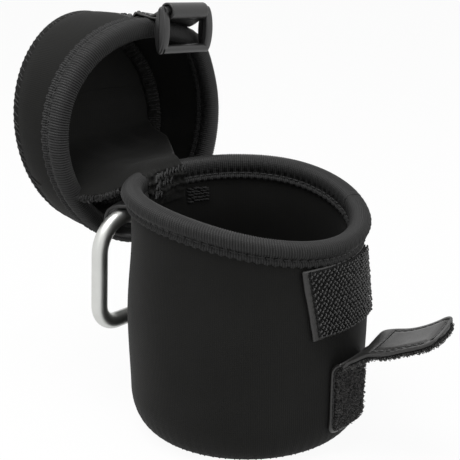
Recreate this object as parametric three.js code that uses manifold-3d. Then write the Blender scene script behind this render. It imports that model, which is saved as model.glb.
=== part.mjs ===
// Neoprene lens pouch, standing with its lid thrown back.
// Millimetres, +Z up, origin at the centre of the base, strap side towards -Y, hinge towards +Y.
import * as THREE from 'three';
import { mergeVertices } from 'three/addons/utils/BufferGeometryUtils.js';
import Module from 'manifold-3d';

// Shared by all pieces
const fit = 0.3;
const overrun = 1;
const ringSteps = 44;
const quarterTurn = Math.PI / 2;
const front = -quarterTurn;
const back = quarterTurn;

// Rim line: low at the strap, high at the hinge, dipped at front and back
const rimHeight = 94.25;
const rimSlope = 7;
const rimDip = 2.25;
const rimFlare = 1.2;

// Body wall: radii of the sleeve at its stations, from the foot up to the neck
const wallThickness = 3.6;
const footRadius = 36.8;
const lowRadius = 47;
const cornerHeight = 16.4;
const bellyRadius = 47.6;
const bellyHeight = 45;
const neckRadius = 44.8;
const neckDrop = 12.25;
const neckHeight = rimHeight - neckDrop;
const cornerSteps = 5;
const wallSteps = 6;

// Ribbed binding tape folded over both rims
const tapeThickness = 1.2;
const outerLeg = 8;
const innerLeg = 9;
const stitchDrop = 6.2;
const stitchDepth = 0.35;
const rollSteps = 5;

// Overlock seams
const seamRadius = 1.1;
const seamSides = 6;
const seamSlack = 0.9;

// Hook patch under the front rim
const patchBottom = 49.7;
const patchDrop = 17.85;
const patchTop = rimHeight - patchDrop;
const patchTopWidth = 44.4;
const patchBottomWidth = 40;
const backingThickness = 0.6;
const pileThickness = 1.1;
const patchSelvedge = 2.5;
const patchHem = 1;

// Closing strap: faux leather with loop tape on its outer side
const strapWidth = 23;
const strapBottom = 8.8;
const strapBend = 34.6;
const strapBendRadius = 5.4;
const strapRise = THREE.MathUtils.degToRad(66);
const strapLeather = 1.1;
const strapPile = 1.3;
const strapCorner = 4;
const flapLength = 36.5;
const flapTipCorner = 3.5;
const flapHem = 1.2;

// Webbing loops on the back and the carabiner's rod
const leftLoopAngle = THREE.MathUtils.degToRad(106);
const rightLoopAngle = THREE.MathUtils.degToRad(66);
const loopWidth = 9;
const loopThickness = 1.3;
const loopFoot = 4.2;
const loopDrop = 3.85;
const loopTop = rimHeight - loopDrop;
const loopEye = 11;
const eyeSlack = 2.6;
const eyeLift = 1.2;
const rightLoopEye = 8.4;
const rightLoopReach = 3;
const rodRadius = 3.3;

// Lid, drawn in its closed place
const lidGap = 0.6;
const lidRimRadius = 46.2;
const lidOvalShare = 0.035;
const lidOvalTurn = THREE.MathUtils.degToRad(-9);
const lidTopRadius = 46.3;
const lidTopShiftX = -5.2;
const lidTopShiftY = -6.7;
const lidHeight = 32.3;
const lidTopHeight = rimHeight + lidHeight;
const lidBulge = 1;
const lidCornerDrop = 1.4;
const lidCornerHeight = 6;
const lidCrown = 1.2;
const lidWallSteps = 5;

// Lid hinge: one skew line that stands for the bending tongue
const lidAxis = new THREE.Vector3(0.96, -0.2071, -0.1883).normalize();
const hingeX = -9.05;
const hingeY = 40.67;
const hingeDrop = 17.37;
const hingeZ = rimHeight - hingeDrop;
const lidOpenAngle = THREE.MathUtils.degToRad(-99.84);

// Hinge tongue
const tongueThickness = 3;
const tongueWidth = 29;
const tongueLidWidth = 38;
const tongueFoot = 13;
const tongueClearance = 0.5;
const tongueSag = 2.2;
const tongueReach = 14;

// Closure loop and its leather tab, placed where the bar lies with the lid closed
const barRadius = 1.9;
const barCentreX = -5.9;
const barCentreY = -51.1;
const barDrop = 14.25;
const barCentreZ = rimHeight - barDrop;
const loopTilt = THREE.MathUtils.degToRad(12.5);
const closureWidth = 33;
const closureHeight = 19.5;
const closureSide = 4.2;
const closureSideDepth = 5.6;
const tabWidth = 22;
const tabThickness = 1;
const tabTop = 20;
const tabLeave = 9;
const tabTail = 4;

// Carabiner, drawn in its own plane round the centre of its top bend
const bendRadius = 13.75;
const rodLength = 31.2;
const rodCorner = 9;
const carabinerClear = 4.7;
const carabinerReach = Math.max(bellyRadius, neckRadius) - neckRadius + carabinerClear;
const carabinerYaw = THREE.MathUtils.degToRad(-5);
const carabinerLean = THREE.MathUtils.degToRad(4);
const gatePivotDrop = 17;
const gateRadius = 2.8;
const tangThickness = 2;
const rivetRadius = 0.8;
const noseTang = 3;
const noseGap = 0.6;
const noseLead = 1;
const springRadius = 0.9;
const springLength = 8;
const rodSteps = 38;
const rodSides = 5;

const wasm = await Module();
wasm.setup();

// Small tools for closed solids
const lerp = THREE.MathUtils.lerp;
const clamp = THREE.MathUtils.clamp;
const ease = (t) => clamp(t, 0, 1) ** 2 * (3 - 2 * clamp(t, 0, 1));
const polar = (radius, angle, z) => new THREE.Vector3(radius * Math.cos(angle), radius * Math.sin(angle), z);

function outward(geometry) {
  const p = geometry.attributes.position;
  const index = Array.from(geometry.index.array);
  const a = new THREE.Vector3();
  const b = new THREE.Vector3();
  const c = new THREE.Vector3();
  let volume = 0;
  for (let i = 0; i < index.length; i += 3) {
    a.fromBufferAttribute(p, index[i]);
    b.fromBufferAttribute(p, index[i + 1]);
    c.fromBufferAttribute(p, index[i + 2]);
    volume += a.dot(b.cross(c));
  }
  if (volume < 0) {
    for (let i = 0; i < index.length; i += 3) {
      [index[i + 1], index[i + 2]] = [index[i + 2], index[i + 1]];
    }
  }
  geometry.setIndex(index);
  return geometry;
}

function welded(geometry) {
  geometry.deleteAttribute('normal');
  geometry.deleteAttribute('uv');
  const merged = mergeVertices(geometry);
  const kept = [];
  const index = merged.index.array;
  for (let i = 0; i < index.length; i += 3) {
    const [u, v, w] = [index[i], index[i + 1], index[i + 2]];
    if (u !== v && v !== w && w !== u) kept.push(u, v, w);
  }
  merged.setIndex(kept);
  return outward(merged);
}

function ringLoft(sectionAt) {
  const sections = [];
  for (let i = 0; i < ringSteps; i += 1) {
    sections.push(sectionAt((i / ringSteps) * Math.PI * 2));
  }
  const count = sections[0].length;
  const index = [];
  for (let i = 0; i < ringSteps; i += 1) {
    const a = i * count;
    const b = ((i + 1) % ringSteps) * count;
    for (let j = 0; j < count; j += 1) {
      const k = (j + 1) % count;
      index.push(a + j, b + j, b + k, a + j, b + k, a + k);
    }
  }
  const geometry = new THREE.BufferGeometry();
  geometry.setAttribute('position', new THREE.Float32BufferAttribute(sections.flat().flatMap((p) => p.toArray()), 3));
  geometry.setIndex(index);
  return outward(geometry);
}

// A sheet with real thickness: place(u, v, w) bends a unit block, u across, v along, w through it
function sheet(columns, rows, place) {
  const geometry = new THREE.BoxGeometry(1, 1, 1, columns, 1, rows);
  const p = geometry.attributes.position;
  for (let i = 0; i < p.count; i += 1) {
    const at = place(p.getX(i) + 1 / 2, p.getZ(i) + 1 / 2, p.getY(i) + 1 / 2);
    p.setXYZ(i, at.x, at.y, at.z);
  }
  return welded(geometry);
}

function solid(geometry) {
  return new wasm.Manifold(new wasm.Mesh({
    numProp: 3,
    vertProperties: new Float32Array(geometry.attributes.position.array),
    triVerts: new Uint32Array(geometry.index.array),
  }));
}

function fromSolid(manifold) {
  const mesh = manifold.getMesh();
  const geometry = new THREE.BufferGeometry();
  geometry.setAttribute('position', new THREE.Float32BufferAttribute(Array.from(mesh.vertProperties), 3));
  geometry.setIndex(Array.from(mesh.triVerts));
  return geometry;
}

const block = (width, depth, height, x, y, z) => solid(welded(
  new THREE.BoxGeometry(width, depth, height).translate(x, y, z),
));

const crossPin = (radius, length, x, z) => solid(welded(
  new THREE.CylinderGeometry(radius, radius, length, 16).translate(x, 0, z),
));

// Materials
const paint = (color, roughness, metalness = 0) => new THREE.MeshStandardMaterial({ color, roughness, metalness });
const neoprene = () => paint('#242422', 0.9);
const elastic = () => paint('#1f1f1e', 0.75);
const thread = () => paint('#161616', 0.8);
const webbing = () => paint('#191919', 0.8);
const leather = () => paint('#1d1c1b', 0.5);
const hookTape = () => paint('#151515', 0.6);
const loopTape = () => paint('#171615', 0.95);
const plastic = () => paint('#1a1a1a', 0.3);
const aluminium = () => paint('#b9bab6', 0.3, 1);
const steel = () => paint('#8d8e8c', 0.35, 1);

const pouch = new THREE.Group();
function add(parent, name, geometry, material) {
  geometry.computeVertexNormals();
  const mesh = new THREE.Mesh(geometry, material);
  mesh.name = name;
  parent.add(mesh);
  return mesh;
}

// Body surface
const rimZ = (angle) => rimHeight + rimSlope * Math.sin(angle) + rimDip * Math.cos(2 * angle);

function sleeveRadius(z) {
  if (z < cornerHeight) {
    return lerp(footRadius, lowRadius, Math.sqrt(1 - (1 - z / cornerHeight) ** 2));
  }
  if (z < bellyHeight) {
    return lerp(lowRadius, bellyRadius, ease((z - cornerHeight) / (bellyHeight - cornerHeight)));
  }
  return lerp(bellyRadius, neckRadius, ease((z - bellyHeight) / (neckHeight - bellyHeight)));
}

function bodyPoint(angle, offset, z) {
  const flare = rimFlare * ease((z - rimZ(angle) + innerLeg) / (innerLeg - stitchDrop / 2));
  return polar(sleeveRadius(z) + flare + offset, angle, z);
}

add(pouch, 'body_wall', ringLoft((angle) => {
  const top = rimZ(angle) - tapeThickness - fit;
  const outer = [];
  const inner = [];
  for (let i = 0; i <= cornerSteps; i += 1) {
    const turn = (i / cornerSteps) * quarterTurn;
    outer.push(polar(lerp(footRadius, lowRadius, Math.sin(turn)), angle, cornerHeight * (1 - Math.cos(turn))));
    inner.push(polar(
      lerp(footRadius, lowRadius - wallThickness, Math.sin(turn)),
      angle,
      lerp(wallThickness, cornerHeight, 1 - Math.cos(turn)),
    ));
  }
  const heights = [];
  for (let i = 1; i <= wallSteps; i += 1) {
    heights.push(lerp(cornerHeight, rimZ(angle) - innerLeg, i / wallSteps));
  }
  heights.push(rimZ(angle) - stitchDrop, rimZ(angle) - stitchDrop / 2, top);
  for (const z of heights) {
    outer.push(bodyPoint(angle, 0, z));
    inner.push(bodyPoint(angle, -wallThickness, z));
  }
  return [...outer, ...inner.reverse()];
}), neoprene());

// Base panel and the overlock bead that joins it to the sleeve
const panelRadius = footRadius - fit;
add(pouch, 'base_panel', welded(new THREE.LatheGeometry([
  new THREE.Vector2(0, 0),
  new THREE.Vector2(panelRadius, 0),
  new THREE.Vector2(panelRadius, wallThickness),
  new THREE.Vector2(0, wallThickness),
], ringSteps).rotateX(quarterTurn)), neoprene());

add(pouch, 'base_seam', welded(
  new THREE.TorusGeometry(footRadius - seamRadius, seamRadius, seamSides, ringSteps)
    .translate(0, 0, wallThickness + fit + seamRadius),
), thread());

const rollRadius = wallThickness / 2 + fit + tapeThickness;

// Binding outline beside a wall whose outer face is at zero, as offset and distance from the rim's edge
function bindingOutline() {
  const outerFace = fit + tapeThickness;
  const innerFace = -wallThickness - fit - tapeThickness;
  const outline = [
    [fit, outerLeg],
    [outerFace - stitchDepth, outerLeg],
    [outerFace - stitchDepth, stitchDrop],
  ];
  for (let i = 0; i <= rollSteps; i += 1) {
    const turn = (i / rollSteps) * Math.PI;
    outline.push([-wallThickness / 2 + rollRadius * Math.cos(turn), rollRadius * (1 - Math.sin(turn))]);
  }
  outline.push(
    [innerFace + stitchDepth, stitchDrop],
    [innerFace + stitchDepth, innerLeg],
    [-wallThickness - fit, innerLeg],
    [-wallThickness - fit, stitchDrop],
    [-wallThickness - fit, stitchDrop / 2],
    [-wallThickness - fit, tapeThickness],
    [fit, tapeThickness],
    [fit, stitchDrop / 2],
    [fit, stitchDrop],
  );
  return outline;
}
const binding = bindingOutline();

add(pouch, 'body_rim_binding', ringLoft((angle) => (
  binding.map(([offset, drop]) => bodyPoint(angle, offset, rimZ(angle) - drop))
)), elastic());

// Hook patch: a backing with a wider margin at its left edge, and the hook tape on it
function patch(leftMargin, margin, from, to) {
  return sheet(14, 6, (u, v, w) => {
    const z = lerp(patchBottom + margin, patchTop - margin, v);
    const half = lerp(patchBottomWidth, patchTopWidth, v) / 2;
    const across = lerp(-half + leftMargin, half - margin, u);
    return bodyPoint(front + across / sleeveRadius(z), lerp(from, to, w), z);
  });
}
const backingTop = fit + backingThickness;
add(pouch, 'hook_backing', patch(0, 0, fit, backingTop), leather());
add(pouch, 'hook_pile_patch', patch(
  patchSelvedge,
  patchHem,
  backingTop + fit,
  backingTop + fit + pileThickness,
), hookTape());

// Strap: up the wall from its sewn end, then bent outward to the fold
const strapThickness = strapLeather + fit + strapPile;
const strapRun = strapBend - strapBottom;
const anchorLength = strapRun + strapBendRadius * strapRise;
const bendCentre = sleeveRadius(strapBend) + fit + strapBendRadius;

function strapPoint(across, along, depth) {
  const z = strapBottom + Math.min(along, strapRun);
  const turn = Math.max(along - strapRun, 0) / strapBendRadius;
  const flat = turn / strapRise;
  const radius = sleeveRadius(z) + fit + depth;
  const around = across / radius;
  const reach = strapBendRadius - depth;
  const out = turn > 0 ? bendCentre - reach * Math.cos(turn) : radius;
  const sag = radius * (1 - Math.cos(around)) * (1 - flat);
  const x = lerp(radius * Math.sin(around), across, flat);
  return new THREE.Vector3(x, -(out - sag), z + (turn > 0 ? reach * Math.sin(turn) : 0));
}

function anchorLayer(hem, from, to) {
  const anchorRows = 16;
  return sheet(6, anchorRows, (u, v, w) => {
    const along = lerp(hem, anchorLength, v);
    const corner = clamp((along - hem) / strapCorner, 0, 1);
    const half = strapWidth / 2 - hem - strapCorner * (1 - Math.sqrt(1 - (1 - corner) ** 2));
    return strapPoint(lerp(-half, half, u), along, lerp(from, to, w));
  });
}
add(pouch, 'strap_anchor', anchorLayer(0, 0, strapLeather), leather());
add(pouch, 'strap_anchor_loop_pile', anchorLayer(flapHem, strapLeather + fit, strapThickness), loopTape());

// Fold of the strap: centre of its thickness, one clearance past the end of the sewn limb
const strapHalf = strapThickness / 2;
const foldReach = strapBendRadius - strapHalf;
const foldHeading = quarterTurn - strapRise;
const foldOut = bendCentre - foldReach * Math.cos(strapRise) + (strapHalf + fit) * Math.cos(foldHeading);
const foldZ = strapBend + foldReach * Math.sin(strapRise) + (strapHalf + fit) * Math.sin(foldHeading);
const flap = new THREE.Group();
flap.position.set(0, -foldOut, foldZ);
flap.rotation.x = -foldHeading;
pouch.add(flap);

function flapHalf(along, end, hem) {
  const corner = clamp((end - along) / flapTipCorner, 0, 1);
  return strapWidth / 2 - hem - flapTipCorner * (1 - Math.sqrt(1 - (1 - corner) ** 2));
}

// The leather's root is rolled round the fold, and the loop tape starts behind the roll
const knuckleRows = 4;
const tipRows = 5;
const knuckle = [];
for (let i = 0; i <= knuckleRows; i += 1) {
  const turn = (i / knuckleRows) * quarterTurn;
  knuckle.push([-strapHalf * Math.cos(turn), strapHalf * Math.sin(turn), -strapHalf * Math.sin(turn)]);
}
const leatherFace = strapHalf - strapLeather;
const pileRoot = strapHalf + fit;
knuckle.push([strapHalf / 2, strapHalf, -strapHalf], [strapHalf, strapHalf, leatherFace]);
for (let i = 0; i <= tipRows; i += 1) {
  const along = flapLength - flapTipCorner * Math.cos((i / tipRows) * quarterTurn);
  knuckle.push([along, strapHalf, leatherFace]);
}
add(flap, 'strap_flap', sheet(2, knuckle.length - 1, (u, v, w) => {
  const [along, top, bottom] = knuckle[Math.round(v * (knuckle.length - 1))];
  const half = flapHalf(along, flapLength, 0);
  return new THREE.Vector3(lerp(-half, half, u), -along, lerp(bottom, top, w));
}), leather());

add(flap, 'strap_flap_loop_pile', sheet(2, tipRows + 1, (u, v, w) => {
  const end = flapLength - flapHem;
  const row = Math.round(v * (tipRows + 1));
  const along = row === 0 ? pileRoot + fit : end - flapTipCorner * Math.cos(((row - 1) / tipRows) * quarterTurn);
  const half = flapHalf(along, end, flapHem);
  return new THREE.Vector3(lerp(-half, half, u), -along, lerp(-strapHalf, -strapHalf + strapPile, w));
}), loopTape());

// Webbing loops: a foot above and below, and an eye that stands off the wall
const leftReach = carabinerReach + rodRadius + eyeSlack;
function webbingLoop(angle, eye, reach) {
  const rows = 20;
  const eyeHeight = eye + 2 * loopThickness;
  return sheet(3, rows, (u, v, w) => {
    const footShare = 1 / 5;
    const depth = loopThickness * w;
    let offset = fit + depth;
    let z = loopTop - (v / footShare) * loopFoot;
    if (v > 1 - footShare) z = loopTop - 2 * loopFoot - eyeHeight + ((1 - v) / footShare) * loopFoot;
    else if (v > footShare) {
      const turn = ((v - footShare) / (1 - 2 * footShare)) * Math.PI;
      const half = eyeHeight / 2 - loopThickness * (1 - w);
      const swell = Math.sqrt(Math.sin(turn));
      offset = fit + depth * (1 - swell) + (reach + depth) * swell;
      z = loopTop - loopFoot - eyeHeight / 2 + half * Math.cos(turn);
    }
    const around = angle + ((u - 1 / 2) * loopWidth) / (sleeveRadius(z) + offset);
    return bodyPoint(around, offset, z);
  });
}
add(pouch, 'left_webbing_loop', webbingLoop(leftLoopAngle, loopEye, leftReach), webbing());
add(pouch, 'right_webbing_loop', webbingLoop(rightLoopAngle, rightLoopEye, rightLoopReach), webbing());

// Lid group: its meshes are drawn closed and turned open about the hinge line
const lid = new THREE.Group();
const hinge = new THREE.Vector3(hingeX, hingeY, hingeZ);
lid.quaternion.setFromAxisAngle(lidAxis, lidOpenAngle);
lid.position.copy(hinge).sub(hinge.clone().applyQuaternion(lid.quaternion));
lid.updateMatrixWorld(true);
pouch.add(lid);

const panelUnderside = lidTopHeight - wallThickness;
function lidLine(angle) {
  const oval = 1 + lidOvalShare * Math.cos(2 * (angle - lidOvalTurn));
  const rim = polar(lidRimRadius * oval, angle, rimZ(angle) + lidGap);
  const top = polar(lidTopRadius, angle, lidTopHeight).add(new THREE.Vector3(lidTopShiftX, lidTopShiftY, 0));
  return { rim, up: top.sub(rim).normalize() };
}
const lidRise = (angle) => (panelUnderside - fit - rimZ(angle) - lidGap) / lidLine(angle).up.z;

function lidPoint(angle, offset, height) {
  const { rim, up } = lidLine(angle);
  const rise = lidRise(angle);
  const swell = lidBulge * Math.sin(Math.PI * clamp(height / rise, 0, 1));
  const drop = lidCornerDrop * clamp(1 - (rise - height) / lidCornerHeight, 0, 1) ** 2;
  return rim.addScaledVector(up, height).add(polar(offset + swell - drop, angle, 0));
}

add(lid, 'lid_wall', ringLoft((angle) => {
  const start = tapeThickness + fit;
  const outer = [];
  const inner = [];
  const heights = [start, stitchDrop / 2, stitchDrop];
  for (let i = 0; i <= lidWallSteps; i += 1) {
    heights.push(lerp(innerLeg, lidRise(angle), i / lidWallSteps));
  }
  for (const height of heights) {
    outer.push(lidPoint(angle, 0, height));
    inner.push(lidPoint(angle, -wallThickness, height));
  }
  return [...outer, ...inner.reverse()];
}), neoprene());

add(lid, 'lid_rim_binding', ringLoft((angle) => (
  binding.map(([offset, drop]) => lidPoint(angle, offset, drop))
)), elastic());

const lidPanelRadius = lidTopRadius - lidCornerDrop / 2;
add(lid, 'lid_top_panel', welded(new THREE.LatheGeometry([
  new THREE.Vector2(0, -wallThickness),
  new THREE.Vector2(lidPanelRadius - lidCornerDrop / 2, -wallThickness),
  new THREE.Vector2(lidPanelRadius, -wallThickness / 2),
  new THREE.Vector2(lidPanelRadius - lidCornerDrop, -wallThickness / 4),
  new THREE.Vector2(lidPanelRadius - 2 * lidCornerDrop, 0),
  new THREE.Vector2(lidPanelRadius / 2, lidCrown),
  new THREE.Vector2(0, lidCrown),
], ringSteps).rotateX(quarterTurn).translate(lidTopShiftX, lidTopShiftY, lidTopHeight)), neoprene());

const lidSeamRadius = lidTopRadius - lidCornerDrop - wallThickness - seamSlack - seamRadius;
add(lid, 'lid_seam', welded(
  new THREE.TorusGeometry(lidSeamRadius, seamRadius, seamSides, ringSteps)
    .translate(lidTopShiftX, lidTopShiftY, panelUnderside - fit - seamRadius),
), thread());

// Closure loop: two lens-shaped side plates and two round bars
const barCentre = new THREE.Vector3(barCentreX, barCentreY, barCentreZ);
const closure = new THREE.Group();
closure.position.copy(barCentre).applyMatrix4(lid.matrix);
closure.rotation.y = loopTilt;
pouch.add(closure);
const barSpan = closureHeight - 2 * barRadius;

function sidePlate(x) {
  const lens = new THREE.Shape();
  const half = closureHeight / 2;
  const bulge = closureSideDepth / 2;
  lens.moveTo(-barRadius, half - barRadius);
  lens.quadraticCurveTo(-barRadius, half, 0, half);
  lens.quadraticCurveTo(barRadius, half, barRadius, half - barRadius);
  lens.quadraticCurveTo(2 * bulge - barRadius, 0, barRadius, barRadius - half);
  lens.quadraticCurveTo(barRadius, -half, 0, -half);
  lens.quadraticCurveTo(-barRadius, -half, -barRadius, barRadius - half);
  lens.quadraticCurveTo(barRadius - 2 * bulge, 0, -barRadius, half - barRadius);
  const plate = new THREE.ExtrudeGeometry(lens, { depth: closureSide, bevelEnabled: false, curveSegments: 4 });
  plate.translate(0, 0, -closureSide / 2);
  plate.rotateY(quarterTurn);
  plate.rotateX(quarterTurn);
  return solid(welded(plate.translate(x, 0, -barSpan / 2)));
}
function sideBar(z) {
  const bar = new THREE.CylinderGeometry(barRadius, barRadius, closureWidth - closureSide, 14);
  return solid(welded(bar.rotateZ(quarterTurn).translate(0, 0, z)));
}
const plateX = (closureWidth - closureSide) / 2;
add(closure, 'closure_ring', fromSolid(
  sidePlate(-plateX).add(sidePlate(plateX)).add(sideBar(0)).add(sideBar(-barSpan)),
), plastic());

// Leather tab: sewn to the lid's front wall, led down to the bar and rolled round it
const openBar = new THREE.Vector3(Math.cos(loopTilt), 0, -Math.sin(loopTilt));
const barAlong = openBar.applyQuaternion(lid.quaternion.clone().invert());
const barUp = new THREE.Vector3(0, 0, 1).addScaledVector(barAlong, -barAlong.z).normalize();
const barOut = new THREE.Vector3().crossVectors(barAlong, barUp);
const wrapTurn = THREE.MathUtils.degToRad(190);

const tabRows = 26;
add(lid, 'ring_tab', sheet(6, tabRows, (u, v, w) => {
  const across = (u - 1 / 2) * tabWidth;
  const depth = tabThickness * w;
  const wallShare = 0.3;
  const meetShare = 0.55;
  const tailShare = 0.9;
  const wallHeight = lerp(tabTop, tabLeave, v / wallShare);
  const tabAngle = Math.atan2(barCentreY, barCentreX) + across / lidRimRadius;
  const onWall = lidPoint(tabAngle, fit + tapeThickness + fit + depth, wallHeight);
  const wrap = clamp((v - meetShare) / (tailShare - meetShare), 0, 1) * wrapTurn;
  const lift = tabLeave * clamp((meetShare - v) / (meetShare - wallShare), 0, 1);
  const tail = tabTail * clamp((v - tailShare) / (1 - tailShare), 0, 1);
  const reach = barRadius + fit + depth;
  const onBar = barCentre.clone()
    .addScaledVector(barAlong, across)
    .addScaledVector(barOut, reach * Math.cos(wrap) + tail * Math.sin(wrap))
    .addScaledVector(barUp, lift - reach * Math.sin(wrap) - tail * Math.cos(wrap));
  return onWall.lerp(onBar, ease((v - wallShare) / (meetShare - wallShare)));
}), leather());

// Hinge tongue: sewn inside the back wall, over the body's binding and into the lid
const panelPoint = new THREE.Vector3(lidTopShiftX, lidTopShiftY, panelUnderside).applyMatrix4(lid.matrix);
const panelNormal = new THREE.Vector3(0, 0, 1).applyQuaternion(lid.quaternion);
const rollOut = neckRadius + rimFlare - wallThickness / 2;
const rollZ = rimZ(back) - rollRadius;
const tongueLift = rollRadius + tongueClearance + tongueThickness / 2;
const tongueRoot = neckRadius - wallThickness - fit - tapeThickness - tongueClearance - tongueThickness / 2;
const tongueEndOut = panelPoint.y - tongueThickness;
const tonguePath = new THREE.CatmullRomCurve3([
  new THREE.Vector3(0, tongueRoot, rimZ(back) - tongueFoot),
  new THREE.Vector3(0, tongueRoot, rollZ - rollRadius),
  new THREE.Vector3(0, rollOut - tongueLift, rollZ),
  new THREE.Vector3(0, rollOut - tongueLift * Math.SQRT1_2, rollZ + tongueLift * Math.SQRT1_2),
  new THREE.Vector3(0, rollOut, rollZ + tongueLift),
  new THREE.Vector3(0, rollOut + tongueReach, rollZ + tongueLift - tongueSag),
  new THREE.Vector3(0, rollOut + 2 * tongueReach, rollZ + tongueLift - tongueSag / 2),
  new THREE.Vector3(0, tongueEndOut, rollZ + tongueLift),
]);
const tongueRows = 20;
add(pouch, 'hinge_tongue', sheet(8, tongueRows, (u, v, w) => {
  const centre = tonguePath.getPointAt(v);
  const tangent = tonguePath.getTangentAt(v);
  const depth = tongueThickness * (w - 1 / 2);
  const out = centre.y - tangent.z * depth;
  const z = centre.z + tangent.y * depth;
  const inLid = ease((centre.y - rollOut) / (tongueEndOut - rollOut));
  const across = (u - 1 / 2) * lerp(tongueWidth, tongueLidWidth, inLid);
  const round = polar(out, back - across / rollOut, z);
  const at = round.lerp(new THREE.Vector3(across, out, z), inLid);
  if (v === 1) {
    const miss = panelPoint.clone().sub(at).dot(panelNormal) - 2 * fit;
    at.y += miss / panelNormal.y;
  }
  return at;
}), neoprene());

// Carabiner: its top bend passes through the left loop's eye, and its plane leans on the belly
const carabiner = new THREE.Group();
const eyeZ = loopTop - loopFoot - loopThickness - loopEye / 2 + eyeLift;
carabiner.rotation.set(carabinerLean, 0, carabinerYaw, 'ZXY');
carabiner.position.copy(bodyPoint(leftLoopAngle, carabinerReach, eyeZ))
  .sub(new THREE.Vector3(0, 0, bendRadius).applyEuler(carabiner.rotation));
pouch.add(carabiner);

const noseZ = -noseLead;
const pivotZ = -gatePivotDrop;
const shoulderZ = pivotZ - gateRadius - 2 * fit;
const route = [new THREE.Vector3(bendRadius, 0, noseZ)];
const bendSteps = 8;
for (let i = 0; i <= bendSteps; i += 1) {
  const turn = (i / bendSteps) * Math.PI;
  route.push(new THREE.Vector3(bendRadius * Math.cos(turn), 0, bendRadius * Math.sin(turn)));
}
const lowZ = -rodLength;
for (let i = 0; i <= bendSteps; i += 1) {
  const turn = (i / bendSteps) * Math.PI;
  const side = i < bendSteps / 2 ? -1 : Number(i > bendSteps / 2);
  route.push(new THREE.Vector3(
    side * (bendRadius - rodCorner) - rodCorner * Math.cos(turn),
    0,
    lowZ + rodCorner - rodCorner * Math.sin(turn),
  ));
}
route.push(new THREE.Vector3(bendRadius, 0, shoulderZ));
const rodPath = new THREE.CatmullRomCurve3(route, false, 'centripetal');
const rodSection = new THREE.Shape();
rodSection.absarc(0, 0, rodRadius, 0, Math.PI * 2);
const rod = solid(welded(new THREE.ExtrudeGeometry(rodSection, {
  steps: rodSteps,
  curveSegments: rodSides,
  bevelEnabled: false,
  extrudePath: rodPath,
})));

const tang = crossPin(gateRadius, tangThickness, bendRadius, pivotZ)
  .add(block(2 * gateRadius, tangThickness, gateRadius + 2 * fit + overrun, bendRadius, 0, pivotZ - (gateRadius + 2 * fit + overrun) / 2));
const nose = block(2 * gateRadius, tangThickness, noseTang + overrun, bendRadius, 0, noseZ + (overrun - noseTang) / 2);
const rivetHole = crossPin(rivetRadius + fit, 2 * rodRadius, bendRadius, pivotZ);
add(carabiner, 'carabiner_body', fromSolid(rod.add(tang).add(nose).subtract(rivetHole)), aluminium());
add(carabiner, 'gate_rivet', welded(
  new THREE.CylinderGeometry(rivetRadius, rivetRadius, 2 * gateRadius, 12).translate(bendRadius, 0, pivotZ),
), steel());

// Gate: a round bar with a ball end at the rivet, slotted at both ends and bored for its spring
const gateTop = noseZ - noseGap - pivotZ;
const profile = [];
for (let i = 0; i <= cornerSteps; i += 1) {
  const turn = (i / cornerSteps) * quarterTurn;
  profile.push(new THREE.Vector2(gateRadius * Math.sin(turn), -gateRadius * Math.cos(turn)));
}
profile.push(new THREE.Vector2(gateRadius, gateTop), new THREE.Vector2(0, gateTop));
const slotWidth = tangThickness + 2 * fit;
const lowSlot = 2 * gateRadius + fit + overrun;
const gateBar = solid(welded(
  new THREE.LatheGeometry(profile, 16).rotateX(quarterTurn).translate(bendRadius, 0, pivotZ),
));
const boreLength = springLength + 2 * fit;
const boreStart = gateRadius + fit;
const bore = solid(welded(
  new THREE.CylinderGeometry(springRadius + fit, springRadius + fit, boreLength + overrun, 12)
    .rotateX(quarterTurn).translate(bendRadius, 0, pivotZ + boreStart + (boreLength - overrun) / 2),
));
const hingeSlot = block(
  2 * gateRadius + overrun,
  slotWidth,
  lowSlot,
  bendRadius,
  0,
  pivotZ + boreStart - lowSlot / 2,
);
const noseSlot = block(
  2 * gateRadius + overrun,
  slotWidth,
  noseTang + overrun,
  bendRadius,
  0,
  noseZ + (overrun - noseTang) / 2 - 3 * fit,
);
add(carabiner, 'carabiner_gate', fromSolid(
  gateBar.subtract(hingeSlot).subtract(noseSlot).subtract(bore).subtract(rivetHole),
), aluminium());
add(carabiner, 'gate_spring', welded(
  new THREE.CylinderGeometry(springRadius, springRadius, springLength, 10)
    .rotateX(quarterTurn).translate(bendRadius, 0, pivotZ + boreStart + fit + springLength / 2),
), steel());

export default pouch;
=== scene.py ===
import random
from math import atan2, copysign, cos, exp, pi, radians, remainder, sin, sqrt, tau

import bmesh
import bpy
from mathutils import Matrix, Vector, noise


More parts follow.
